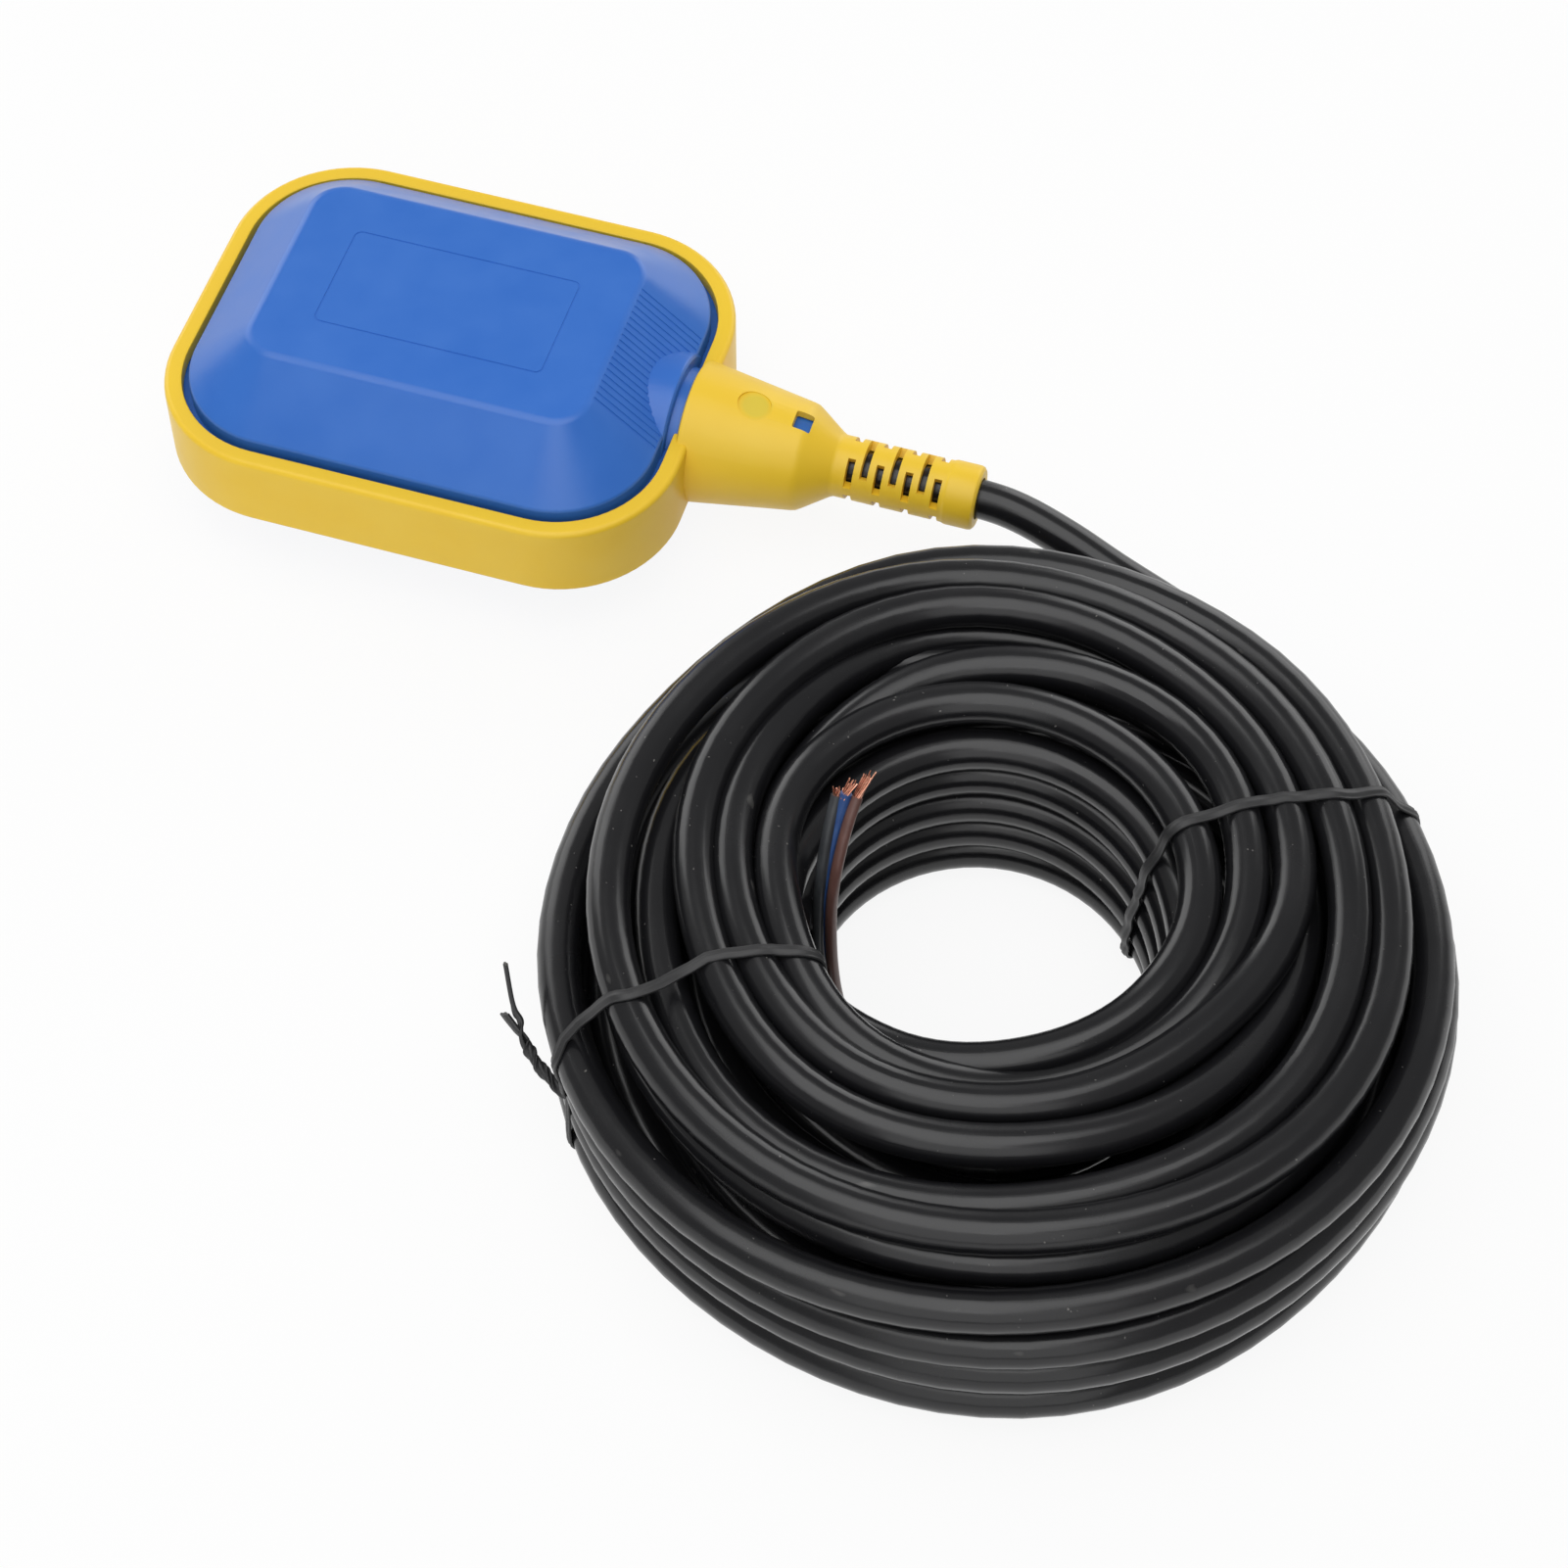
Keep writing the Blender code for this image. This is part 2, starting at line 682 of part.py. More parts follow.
def blue_shells(parent, material):
    """Both shells, with the lower one turned over about the cable's axis."""
    blue_shell("upper_shell", parent, material)
    turned = datum("lower_side", (0, 0, 0))
    turned.parent = parent
    turned.rotation_euler = (math.pi, 0, 0)
    lower = blue_shell("lower_shell", turned, material)
    combine(lower, add_cutter("pillars", clamp_pillars(), turned), "UNION")
    combine(lower, add_cutter("pillar_holes", pillar_holes(), turned), "DIFFERENCE")


# Capsule: tray and cover round the ball track and the switch


def capsule_half(name, side, parent, material):
    """The tray (side -1) or the cover (side 1), open towards the middle."""
    half_x = CAPSULE_END
    half_y = CAPSULE_WIDTH / 2
    near = side * GAP / 2
    far = side * CAPSULE_TOP
    body = box((-half_x, -half_y, min(near, far)), (half_x, half_y, max(near, far)))
    half = add_mesh(name, body, parent, material)
    inner_x = half_x - CAPSULE_WALL
    inner_y = half_y - CAPSULE_WALL
    inner = far - side * CAPSULE_WALL
    low = (-inner_x, -inner_y, min(inner, -side * GAP))
    high = (inner_x, inner_y, max(inner, -side * GAP))
    room = box(low, high)
    slot_z = WIRE_SLOT_HEIGHT / 2
    slot_y = WIRE_SLOT_WIDTH / 2
    slot = box((inner_x - CAPSULE_WALL, -slot_y, -slot_z), (half_x + CAPSULE_WALL, slot_y, slot_z))
    combine(half, add_cutter(f"{name}_room", room, parent), "DIFFERENCE")
    combine(half, add_cutter(f"{name}_wire_slot", slot, parent), "DIFFERENCE")
    return half


def track_and_brackets():
    """Ball rails, the lever's ears and the switch's brackets, standing on the tray's floor."""
    bm = bmesh.new()
    root = CAPSULE_FLOOR - CAPSULE_WALL / 2
    rail_start = CAPSULE_WALL / 2 - CAPSULE_END
    rail_end = PIVOT_X - RAIL_SPACE
    for side in (-1, 1):
        rail = side * (BALL_RADIUS + RAIL_CLEARANCE)
        outside = rail + side * RAIL_THICKNESS
        low = (rail_start, min(rail, outside), root)
        add_box(bm, low, (rail_end, max(rail, outside), CAPSULE_FLOOR + RAIL_HEIGHT))
        ear = side * (LEVER_WIDTH / 2 + GAP)
        outside = ear + side * EAR_THICKNESS
        low = (PIVOT_X - EAR_WIDTH / 2, min(ear, outside), root)
        add_box(bm, low, (PIVOT_X + EAR_WIDTH / 2, max(ear, outside), PIVOT_Z + EAR_CAP))
        bracket = side * (SWITCH_WIDTH / 2 + GAP)
        outside = bracket + side * EAR_THICKNESS
        middle = SWITCH_X + SWITCH_DEPTH / 2
        low = (middle - BRACKET_DEPTH / 2, min(bracket, outside), root)
        add_box(bm, low, (middle + BRACKET_DEPTH / 2, max(bracket, outside), BRACKET_TOP))
    return bm


def tray_holes():
    """Holes for the lever's pin and the switch's two pins."""
    bm = bmesh.new()
    reach = LEVER_WIDTH
    middle = SWITCH_X + SWITCH_DEPTH / 2
    radius = PIN_RADIUS + RUNNING
    add_rod(bm, (PIVOT_X, -reach, PIVOT_Z), (PIVOT_X, reach, PIVOT_Z), radius)
    for z in (SWITCH_PIN_LOW, SWITCH_PIN_HIGH):
        add_rod(bm, (middle, -reach, z), (middle, reach, z), SWITCH_PIN_RADIUS + RUNNING)
    return bm


def capsule(parent, material):
    """The tray with all that stands in it, and the cover."""
    base = capsule_half("capsule_base", -1, parent, material)
    combine(base, add_cutter("track_and_brackets", track_and_brackets(), parent), "UNION")
    combine(base, add_cutter("tray_holes", tray_holes(), parent), "DIFFERENCE")
    capsule_half("capsule_cover", 1, parent, material)


def steel_ball(parent, material):
    """The heavy ball that rolls to the lever when the float tips."""
    bm = bmesh.new()
    bmesh.ops.create_uvsphere(bm, u_segments=28, v_segments=18, radius=BALL_RADIUS)
    ball = add_mesh("steel_ball", bm, parent, material)
    ball.location = (BALL_X, 0, CAPSULE_FLOOR + BALL_RADIUS + GAP)


# Switch: lever, plunger, case and terminals


def switch_lever(parent, material):
    """The lever that the ball leans on, turning on the pin at its foot."""
    half_y = LEVER_WIDTH / 2
    half_x = LEVER_THICKNESS / 2
    pivot = datum("lever_pivot", (PIVOT_X, 0, PIVOT_Z))
    pivot.parent = parent
    plate = box((-half_x, -half_y, 0), (half_x, half_y, LEVER_HEIGHT))
    lever = add_mesh("switch_lever", plate, pivot, material)
    knuckle = rod((0, -half_y, 0), (0, half_y, 0), KNUCKLE_RADIUS)
    hole = rod((0, -2 * half_y, 0), (0, 2 * half_y, 0), PIN_RADIUS + RUNNING)
    combine(lever, add_cutter("lever_knuckle", knuckle, pivot), "UNION")
    combine(lever, add_cutter("lever_hole", hole, pivot), "DIFFERENCE")


def lever_pin(parent, material):
    """The fixed pin through the ears and the lever."""
    reach = LEVER_WIDTH / 2 + GAP + EAR_THICKNESS
    pin = rod((PIVOT_X, -reach, PIVOT_Z), (PIVOT_X, reach, PIVOT_Z), PIN_RADIUS)
    add_mesh("lever_pin", pin, parent, material)


def switch_plunger(parent, material):
    """The button that the lever presses into the switch."""
    bm = rod((0, 0, 0), (PLUNGER_LENGTH, 0, 0), PLUNGER_RADIUS)
    plunger = add_mesh("switch_plunger", bm, parent, material)
    plunger.location = (PLUNGER_X, 0, CONTACT_Z)


def microswitch_case(parent, material):
    """The switch's case, with its plunger hole and two pin holes."""
    half_y = SWITCH_WIDTH / 2
    half_z = SWITCH_HEIGHT / 2
    end_x = SWITCH_X + SWITCH_DEPTH
    case = add_mesh(
        "microswitch_case", box((SWITCH_X, -half_y, -half_z), (end_x, half_y, half_z)), parent, material
    )
    holes = bmesh.new()
    bottom = PLUNGER_X + PLUNGER_LENGTH + PLUNGER_TRAVEL + GAP
    radius = PLUNGER_RADIUS + RUNNING
    add_rod(holes, (SWITCH_X - GAP, 0, CONTACT_Z), (bottom, 0, CONTACT_Z), radius)
    middle = SWITCH_X + SWITCH_DEPTH / 2
    for z in (SWITCH_PIN_LOW, SWITCH_PIN_HIGH):
        start = (middle, -SWITCH_WIDTH, z)
        add_rod(holes, start, (middle, SWITCH_WIDTH, z), SWITCH_PIN_RADIUS + RUNNING)
    combine(case, add_cutter("case_holes", holes, parent), "DIFFERENCE")


def switch_pins(parent, material):
    """Two pins that hold the case between its brackets."""
    reach = SWITCH_WIDTH / 2 + GAP + EAR_THICKNESS
    x = SWITCH_X + SWITCH_DEPTH / 2
    for name, z in (("switch_pin_lower", SWITCH_PIN_LOW), ("switch_pin_upper", SWITCH_PIN_HIGH)):
        add_mesh(name, rod((x, -reach, z), (x, reach, z), SWITCH_PIN_RADIUS), parent, material)


def terminals(parent, material):
    """Three blades: the two that the cable uses, and the spare one between them."""
    start = SWITCH_X + SWITCH_DEPTH + GAP
    half_y = TERMINAL_THICKNESS / 2
    half_z = TERMINAL_HEIGHT / 2
    places = (("terminal_common", -1), ("terminal_spare", 0), ("terminal_switched", 1))
    for name, place in places:
        z = place * TERMINAL_PITCH
        blade = box((start, -half_y, z - half_z), (start + TERMINAL_LENGTH, half_y, z + half_z))
        add_mesh(name, blade, parent, material)


def inner_wires(parent, materials):
    """The three cores from the cable's end to their terminals."""
    cores = (("brown", 120.0, 1), ("black", 0.0, 0), ("blue", 240.0, -1))
    start_x = CABLE_END_X - GAP
    end_x = CAPSULE_X + SWITCH_X + SWITCH_DEPTH + TERMINAL_LENGTH + 2 * GAP
    share = (start_x - end_x) / 3
    for name, angle, place in cores:
        y = CORE_SPREAD * math.cos(math.radians(angle))
        low = CORE_SPREAD * math.sin(math.radians(angle))
        high = place * TERMINAL_PITCH
        route = (
            (start_x, y, low),
            (start_x - share, y * 0.8, low + (high - low) * 0.2),
            (end_x + share, y * 0.25, low + (high - low) * 0.75),
            (end_x, 0, high),
        )
        points = smooth_route(route, CORE_RADIUS)
        add_tube(f"wire_{name}", points, CORE_RADIUS, parent, materials[name])


# Cable fixing: clamp, screws and seal


def clamp_block(name, side, parent, material):
    """One block of the clamp, hollowed for the cable."""
    near = side * GAP
    far = side * CLAMP_HEIGHT
    half_x = CLAMP_LENGTH / 2
    half_y = CLAMP_WIDTH / 2
    low = (CLAMP_X - half_x, -half_y, min(near, far))
    high = (CLAMP_X + half_x, half_y, max(near, far))
    block = add_mesh(name, box(low, high), parent, material)
    ways = bmesh.new()
    start_x = CLAMP_X - CLAMP_LENGTH
    add_rod(ways, (start_x, 0, 0), (CLAMP_X + CLAMP_LENGTH, 0, 0), CABLE_BORE, ROUND_STEPS)
    for y in (-CLAMP_SCREW_Y, CLAMP_SCREW_Y):
        start = (CLAMP_X, y, -2 * CLAMP_HEIGHT)
        add_rod(ways, start, (CLAMP_X, y, 2 * CLAMP_HEIGHT), SCREW_RADIUS + RUNNING)
    combine(block, add_cutter(f"{name}_ways", ways, parent), "DIFFERENCE")


def clamp_screw(name, y, parent, material):
    """A screw through both blocks into its pillar."""
    seat = CLAMP_HEIGHT + GAP
    steps = 24
    rings = []
    for z, radius in (
        (-seat - SCREW_BITE, SCREW_RADIUS),
        (seat, SCREW_RADIUS),
        (seat, SCREW_HEAD_RADIUS),
        (seat + SCREW_HEAD_HEIGHT, SCREW_HEAD_RADIUS),
    ):
        angles = [2 * math.pi * i / steps for i in range(steps)]
        rings.append([(radius * math.cos(a), radius * math.sin(a), z) for a in angles])
    screw = add_mesh(name, loft(rings), parent, material)
    screw.location = (CLAMP_X, y, 0)


def cable_fixing(parent, materials):
    """The clamp's blocks and screws, and the rubber seal in the nose."""
    clamp_block("clamp_lower", -1, parent, materials["capsule"])
    clamp_block("clamp_upper", 1, parent, materials["capsule"])
    clamp_screw("clamp_screw_left", CLAMP_SCREW_Y, parent, materials["steel"])
    clamp_screw("clamp_screw_right", -CLAMP_SCREW_Y, parent, materials["steel"])
    end = FOOT_X - SHELL_WALL + SEAL_POCKET_LENGTH - GAP
    seal = turned_tube_about_x(end - SEAL_LENGTH, end, CABLE_BORE, SEAL_POCKET_RADIUS - GAP)
    add_mesh("cable_seal", seal, parent, materials["rubber"])


# Coil, lead, bared cores and ties


def coil_section(inset, steps=4):
    """The coil's section as (radius, height) pairs, moved inward by an inset."""
    corner = COIL_CORNER - inset
    pairs = []
    corners = (
        (COIL_OUTER, COIL_HEIGHT, -1, -1),
        (COIL_INNER, COIL_HEIGHT, 1, -1),
        (COIL_INNER, 0.0, 1, 1),
        (COIL_OUTER, 0.0, -1, 1),
    )
    for quarter, (radius, height, inward_r, inward_z) in enumerate(corners):
        middle_r = radius + inward_r * COIL_CORNER
        middle_z = height + inward_z * COIL_CORNER
        for step in range(steps + 1):
            angle = math.radians(90 * (quarter + step / steps))
            r = middle_r + corner * math.cos(angle)
            pairs.append((r, middle_z + corner * math.sin(angle)))
    return pairs


def tie_loop(inner_inset, outer_inset, width):
    """A flat band round the coil's section, in the plane y = 0."""
    rings = []
    for inset, y in (
        (inner_inset, -width / 2),
        (outer_inset, -width / 2),
        (outer_inset, width / 2),
        (inner_inset, width / 2),
    ):
        rings.append([(r, y, z) for r, z in coil_section(inset)])
    return loft(rings, closed=True)


def cable_coil(parent, material, tie_sides):
    """The coil's outer shape, pinched where the ties hold it."""
    steps = 60
    rings = []
    for radius, height in coil_section(0.0):
        angles = [2 * math.pi * i / steps for i in range(steps)]
        rings.append([(radius * math.cos(a), radius * math.sin(a), height) for a in angles])
    coil = add_mesh("cable_coil", loft(rings, closed=True), parent, material)
    depth = TIE_SINK + TIE_THICKNESS + GAP
    for name, side in tie_sides.items():
        pinch = tie_loop(depth, -TIE_THICKNESS, TIE_WIDTH + 2 * GAP)
        combine(coil, add_cutter(f"{name}_pinch", pinch, side), "DIFFERENCE")


def cable_ties(tie_sides, material):
    """The two ties round the coil."""
    for name, side in tie_sides.items():
        loop = tie_loop(TIE_SINK + TIE_THICKNESS, TIE_SINK, TIE_WIDTH)
        add_mesh(name, loop, side, material)


def cable_lead(material):
    """The cable from its end in the float to where it meets the coil."""
    outside = [Vector(point) * MM for point in LEAD_POINTS]
    points = smooth_route([LEAD_START, *outside], 2.4 * CABLE_RADIUS)
    moved = [point + Vector((FLOAT_X, 0, 0)) for point in points]
    add_tube("cable_lead", moved, CABLE_RADIUS, None, material)


def bared_core(colour, route, parent, materials):
    """A core that stands up inside the coil, with a tuft of copper at its end."""
    points = []
    for angle, radius, height in route:
        turn = math.radians(angle)
        points.append(Vector((radius * math.cos(turn), radius * math.sin(turn), height)) * MM)
    points = smooth_route(points, 2.4 * CORE_RADIUS)
    add_tube(f"core_{colour}", points, CORE_RADIUS, parent, materials[colour])
    along = (points[-1] - points[-2]).normalized()
    start = points[-1] + along * GAP
    strands = rod(start, start + along * STRAND_LENGTH, STRAND_RADIUS, 12)
    add_mesh(f"strands_{colour}", strands, parent, materials["copper"])


def build():
    """Build every piece."""
    clear_scene()
    materials = {
        "blue_plastic": principled("blue_plastic", "#2F66C8", 0.35),
        "yellow": principled("yellow", "#F4C92E", 0.45),
        "capsule": principled("capsule", "#E6E6E0", 0.5),
        "steel": principled("steel", "#B9BBBE", 0.25, 1.0),
        "brass": principled("brass", "#C9A55A", 0.3, 1.0),
        "switch": principled("switch", "#2A2A2C", 0.5),
        "button": principled("button", "#B8342A", 0.45),
        "rubber": principled("rubber", "#303030", 0.7),
        "cable": principled("cable", "#232325", 0.35),
        "brown": principled("brown", "#6A4A44", 0.45),
        "black": principled("black", "#2B2B2D", 0.45),
        "blue": principled("blue", "#2E4E8C", 0.45),
        "copper": principled("copper", "#C9744A", 0.35, 1.0),
        "tie": principled("tie", "#262626", 0.5),
    }
    body = datum("float_datum", (FLOAT_X, 0, HALF_HEIGHT))
    yellow_frame(body, materials["yellow"])
    blue_shells(body, materials["blue_plastic"])
    inside = datum("capsule_datum", (CAPSULE_X, 0, 0))
    inside.parent = body
    capsule(inside, materials["capsule"])
    steel_ball(inside, materials["steel"])
    switch_lever(inside, materials["steel"])
    lever_pin(inside, materials["steel"])
    switch_plunger(inside, materials["button"])
    microswitch_case(inside, materials["switch"])
    switch_pins(inside, materials["steel"])
    terminals(inside, materials["brass"])
    inner_wires(body, materials)
    cable_fixing(body, materials)
    centre = datum("coil_datum", (FLOAT_X + COIL_CENTRE_X, COIL_CENTRE_Y, 0))
    tie_sides = {}
    for name, angle in (("tie_left", TIE_LEFT_ANGLE), ("tie_right", TIE_RIGHT_ANGLE)):
        side = datum(f"{name}_side", (0, 0, 0))
        side.parent = centre
        side.rotation_euler = (0, 0, angle)
        tie_sides[name] = side
    cable_coil(centre, materials["cable"], tie_sides)
    cable_ties(tie_sides, materials["tie"])
    cable_lead(materials["cable"])
    for colour, route in (("brown", BROWN_POINTS), ("blue", BLUE_POINTS), ("black", BLACK_POINTS)):
        bared_core(colour, route, centre, materials)


build()
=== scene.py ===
import math
import random
import bmesh
import bpy
from mathutils import Matrix, Vector


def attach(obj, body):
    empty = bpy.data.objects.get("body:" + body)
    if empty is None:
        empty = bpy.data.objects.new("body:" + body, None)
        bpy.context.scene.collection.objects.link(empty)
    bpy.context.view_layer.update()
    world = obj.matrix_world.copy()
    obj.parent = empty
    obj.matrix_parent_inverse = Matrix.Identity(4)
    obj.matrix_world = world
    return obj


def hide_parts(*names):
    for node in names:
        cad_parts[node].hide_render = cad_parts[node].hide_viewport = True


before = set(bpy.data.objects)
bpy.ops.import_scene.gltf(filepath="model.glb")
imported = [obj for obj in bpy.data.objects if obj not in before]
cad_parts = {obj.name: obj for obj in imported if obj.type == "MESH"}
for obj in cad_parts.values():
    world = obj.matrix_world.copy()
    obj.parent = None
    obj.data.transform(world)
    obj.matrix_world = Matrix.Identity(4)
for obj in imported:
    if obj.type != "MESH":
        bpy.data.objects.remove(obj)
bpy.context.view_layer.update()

# The photographer's table: a white sweep under soft boxes, seen from above by a long lens.
# Its white is painted for the camera and for reflections, and a faint contact shadow stays.


def linear(hex_colour):
    """Turn an sRGB hex colour into linear values."""
    parts = [int(hex_colour[i : i + 2], 16) / 255 for i in (1, 3, 5)]
    return [c / 12.92 if c <= 0.04045 else ((c + 0.055) / 1.055) ** 2.4 for c in parts]


def add_node(material, kind, settings=None, links=None):
    """Add one node: settings are its properties or inputs, links name what feeds its inputs."""
    node = material.node_tree.nodes.new(kind)
    for key, value in (settings or {}).items():
        if isinstance(key, int) or key in node.inputs:
            node.inputs[key].default_value = value
        else:
            setattr(node, key, value)
    for key, source in (links or {}).items():
        material.node_tree.links.new(source, node.inputs[key])
    return node


def empty_material(name):
    """A material with nothing in it yet."""
    material = bpy.data.materials.new(name)
    material.use_nodes = True
    material.node_tree.nodes.clear()
    return material


def paint_white_sweep(strength):
    """White card: matt to light, full white to the camera and to shiny things."""
    material = empty_material("white_card")
    card = add_node(material, "ShaderNodeBsdfDiffuse", {"Color": (*linear("#F2F2F2"), 1)})
    glow = add_node(material, "ShaderNodeEmission", {"Color": (1, 1, 1, 1), "Strength": 1.0})
    rays = add_node(material, "ShaderNodeLightPath")
    seen = rays.outputs["Is Camera Ray"]
    for other in ("Is Glossy Ray", "Is Transmission Ray"):
        step = add_node(
            material, "ShaderNodeMath", {"operation": "MAXIMUM"}, {0: seen, 1: rays.outputs[other]}
        )
        seen = step.outputs[0]
    share = add_node(material, "ShaderNodeMath", {"operation": "MULTIPLY", 1: strength}, {0: seen})
    mixed = add_node(
        material,
        "ShaderNodeMixShader",
        None,
        {0: share.outputs[0], 1: card.outputs[0], 2: glow.outputs[0]},
    )
    add_node(material, "ShaderNodeOutputMaterial", None, {"Surface": mixed.outputs[0]})
    return material


def soft_box(name, place, target, size, power):
    """A square soft box that faces a point."""
    lamp = bpy.data.lights.new(name, "AREA")
    lamp.shape = "SQUARE"
    lamp.size = size
    lamp.energy = power
    box = bpy.data.objects.new(name, lamp)
    box.location = place
    box.rotation_euler = (Vector(place) - Vector(target)).to_track_quat("Z", "Y").to_euler()
    bpy.context.collection.objects.link(box)


# Fitted to the float's outlines in the photograph
camera = bpy.data.objects.new("camera", bpy.data.cameras.new("camera"))
camera.data.lens = 88.2313
camera.data.sensor_width = 36.0
camera.location = (0.178358, -0.454658, 0.592873)
camera.rotation_euler = [math.radians(a) for a in (34.780245, -0.159485, 17.121724)]
bpy.context.collection.objects.link(camera)
bpy.context.scene.camera = camera

bpy.ops.object.select_all(action="DESELECT")
bpy.ops.mesh.primitive_plane_add(size=6.0, location=(0, 0, -0.0002))
table = bpy.context.object
table.name = "white_sweep"
table.data.materials.append(paint_white_sweep(0.9))

centre = (0.06, -0.06, 0.0)
soft_box("box_above", (0.0, -0.3, 1.2), centre, 1.2, 9.0)
soft_box("box_left", (-0.95, 0.55, 0.45), centre, 0.8, 4.0)
soft_box("box_behind", (0.35, 1.1, 0.4), centre, 0.8, 4.0)
soft_box("box_front", (0.45, -1.6, 0.9), centre, 1.6, 7.5)
world = bpy.data.worlds.new("studio_air")
world.use_nodes = True
world.node_tree.nodes["Background"].inputs["Color"].default_value = (1, 1, 1, 1)
world.node_tree.nodes["Background"].inputs["Strength"].default_value = 0.3
bpy.context.scene.world = world
bpy.context.scene.view_settings.view_transform = "Standard"

# The supply cable: 10 m of round black PVC-sheathed cable, 7.6 mm across, wound by hand.
# It leaves the strain relief, runs round the outside of the coil, fills it, and then lies
# in a spiral over the top and down the inner wall to its cut end.

FLOAT_Z = 0.02085  # the float lies on its flat face, so its middle and its cable are this high
COIL_X = 0.1103
COIL_Y = -0.1018
CABLE_RADIUS = 0.0038
CABLE_SIDES = 20
LOWEST_CENTRE = 3.8  # in millimetres, where a turn lies on the table
RING_STEP = 5.0  # in degrees
LEAD_STEPS = 5
START_ANGLE = 23.9  # in degrees, where the lead joins the coil
# Radius and height in millimetres of the cable's centre, 8 to a lap or 4 where it runs evenly,
# clockwise from START_ANGLE. First the two low outer laps, then the hidden layers, then what shows.
OUTER_LAPS = (
    (
        (78.0, 16.5), (75.2, 18.9), (76.9, 20.5), (74.6, 16.8),
        (74.9, 12.8), (74.6, 12.4), (77.0, 12.4), (77.5, 10.4),
    ),
    (
        (76.6, 8.6), (74.0, 8.9), (75.8, 9.0), (74.0, 7.2),
        (74.9, 5.0), (74.4, 4.3), (76.0, 4.0), (73.5, 3.9),
    ),
)
# Height in millimetres of each hidden layer, its quarter laps, and whether it is wound inwards
LAYERS = ((3.8, 16, True), (11.5, 14, False), (19.2, 16, True), (26.9, 10, False))
HIDDEN_RADIUS = 68.2  # in millimetres, of a hidden layer's outermost lap
LAP_PITCH = 7.65  # in millimetres, between neighbouring laps of a layer
OUTWARD_START = 13  # quarter laps from the outside, where an outward layer starts
TOP_LAPS = (
    ((64.0, 30.5), (65.6, 36.6), (66.0, 34.5), (69.5, 28.5)),
    (
        (76.2, 24.6), (75.0, 26.6), (76.3, 28.2), (75.0, 24.6),
        (75.2, 20.6), (74.6, 22.6), (76.0, 25.0), (75.0, 29.0),
    ),
    (
        (74.5, 32.7), (74.2, 35.8), (73.9, 36.5), (76.2, 35.4),
        (76.3, 30.4), (75.8, 29.5), (77.9, 36.6), (72.3, 39.7),
    ),
    (
        (66.8, 40.9), (65.9, 42.7), (63.4, 43.2), (65.3, 43.2),
        (67.1, 43.2), (68.8, 43.1), (71.2, 41.6), (65.0, 42.5),
    ),
    (
        (59.6, 43.2), (58.7, 42.5), (57.3, 41.3), (60.5, 40.6),
        (59.0, 38.7), (61.2, 36.6), (57.4, 35.2), (54.1, 34.8),
    ),
    (
        (52.3, 35.5), (48.5, 39.5), (47.3, 43.0), (49.7, 43.2),
        (51.2, 43.2), (58.6, 43.2), (63.8, 43.2), (57.5, 43.2),
    ),
    (
        (50.7, 43.2), (41.4, 43.2), (39.7, 43.2), (42.0, 43.2),
        (44.5, 43.1), (52.4, 41.3), (61.4, 36.7), (57.8, 35.6),
    ),
    (
        (47.6, 35.3), (43.8, 35.2), (42.2, 35.2), (41.5, 35.2),
        (41.7, 35.7), (45.0, 38.2), (49.7, 43.0), (49.6, 43.2),
    ),
    (
        (42.4, 43.1), (36.3, 39.9), (33.3, 37.4), (36.6, 41.2),
        (37.5, 43.2), (42.5, 43.2), (42.4, 43.2), (38.4, 43.2),
    ),
    (
        (34.2, 42.9), (30.2, 41.5), (28.9, 39.5), (32.4, 37.2),
        (38.0, 35.8), (37.8, 35.8), (37.6, 35.8), (35.0, 34.6),
    ),
    ((32.6, 32.2), (36.0, 30.6), (36.4, 29.2), (37.6, 28.2)),
    ((32.0, 24.7), (36.0, 23.2), (36.4, 21.8), (36.6, 20.8)),
    ((31.6, 17.4), (36.0, 15.8), (36.4, 14.4), (36.4, 13.3)),
    ((31.6, 10.0), (36.0, 8.2), (36.4, 6.9), (36.6, 5.8)),
    ((32.4, 4.6), (34.6, 3.9)),
)
SHEATH_END = (-146.0, 30.0, 4.2)
HELD_END_X = 0.0519
HELD_STEPS = 8


def eased(a, b, c, d, t):
    """A value on the smooth curve from b to c."""
    bend = (2 * a - 5 * b + 4 * c - d) * t * t + (3 * b - a - 3 * c + d) * t * t * t
    return b + 0.5 * ((c - a) * t + bend)


def round_the_coil(angle, radius, height):
    """A place beside the coil's axis, from degrees and millimetres."""
    turn = math.radians(angle)
    return Vector(
        (
            COIL_X + radius * math.cos(turn) / 1000,
            COIL_Y + radius * math.sin(turn) / 1000,
            height / 1000,
        )
    )


def lay_laps(laps, angle):
    """The stations of these laps from an angle on, and the angle after them."""
    placed = []
    for lap in laps:
        for radius, height in lap:
            placed.append((angle, radius, height))
            angle -= 45 if len(lap) == 8 else 90
    return placed, angle


def wind(stations):
    """Points along the winding, about every RING_STEP degrees."""
    points = []
    padded = [stations[0], *stations, stations[-1]]
    for a, b, c, d in zip(padded, padded[1:], padded[2:], padded[3:]):
        steps = max(1, round((b[0] - c[0]) / RING_STEP))
        for step in range(steps):
            t = step / steps
            radius, height = (eased(a[i], b[i], c[i], d[i], t) for i in (1, 2))
            points.append(round_the_coil(b[0] + (c[0] - b[0]) * t, radius, max(height, LOWEST_CENTRE)))
    return points + [round_the_coil(*stations[-1])]


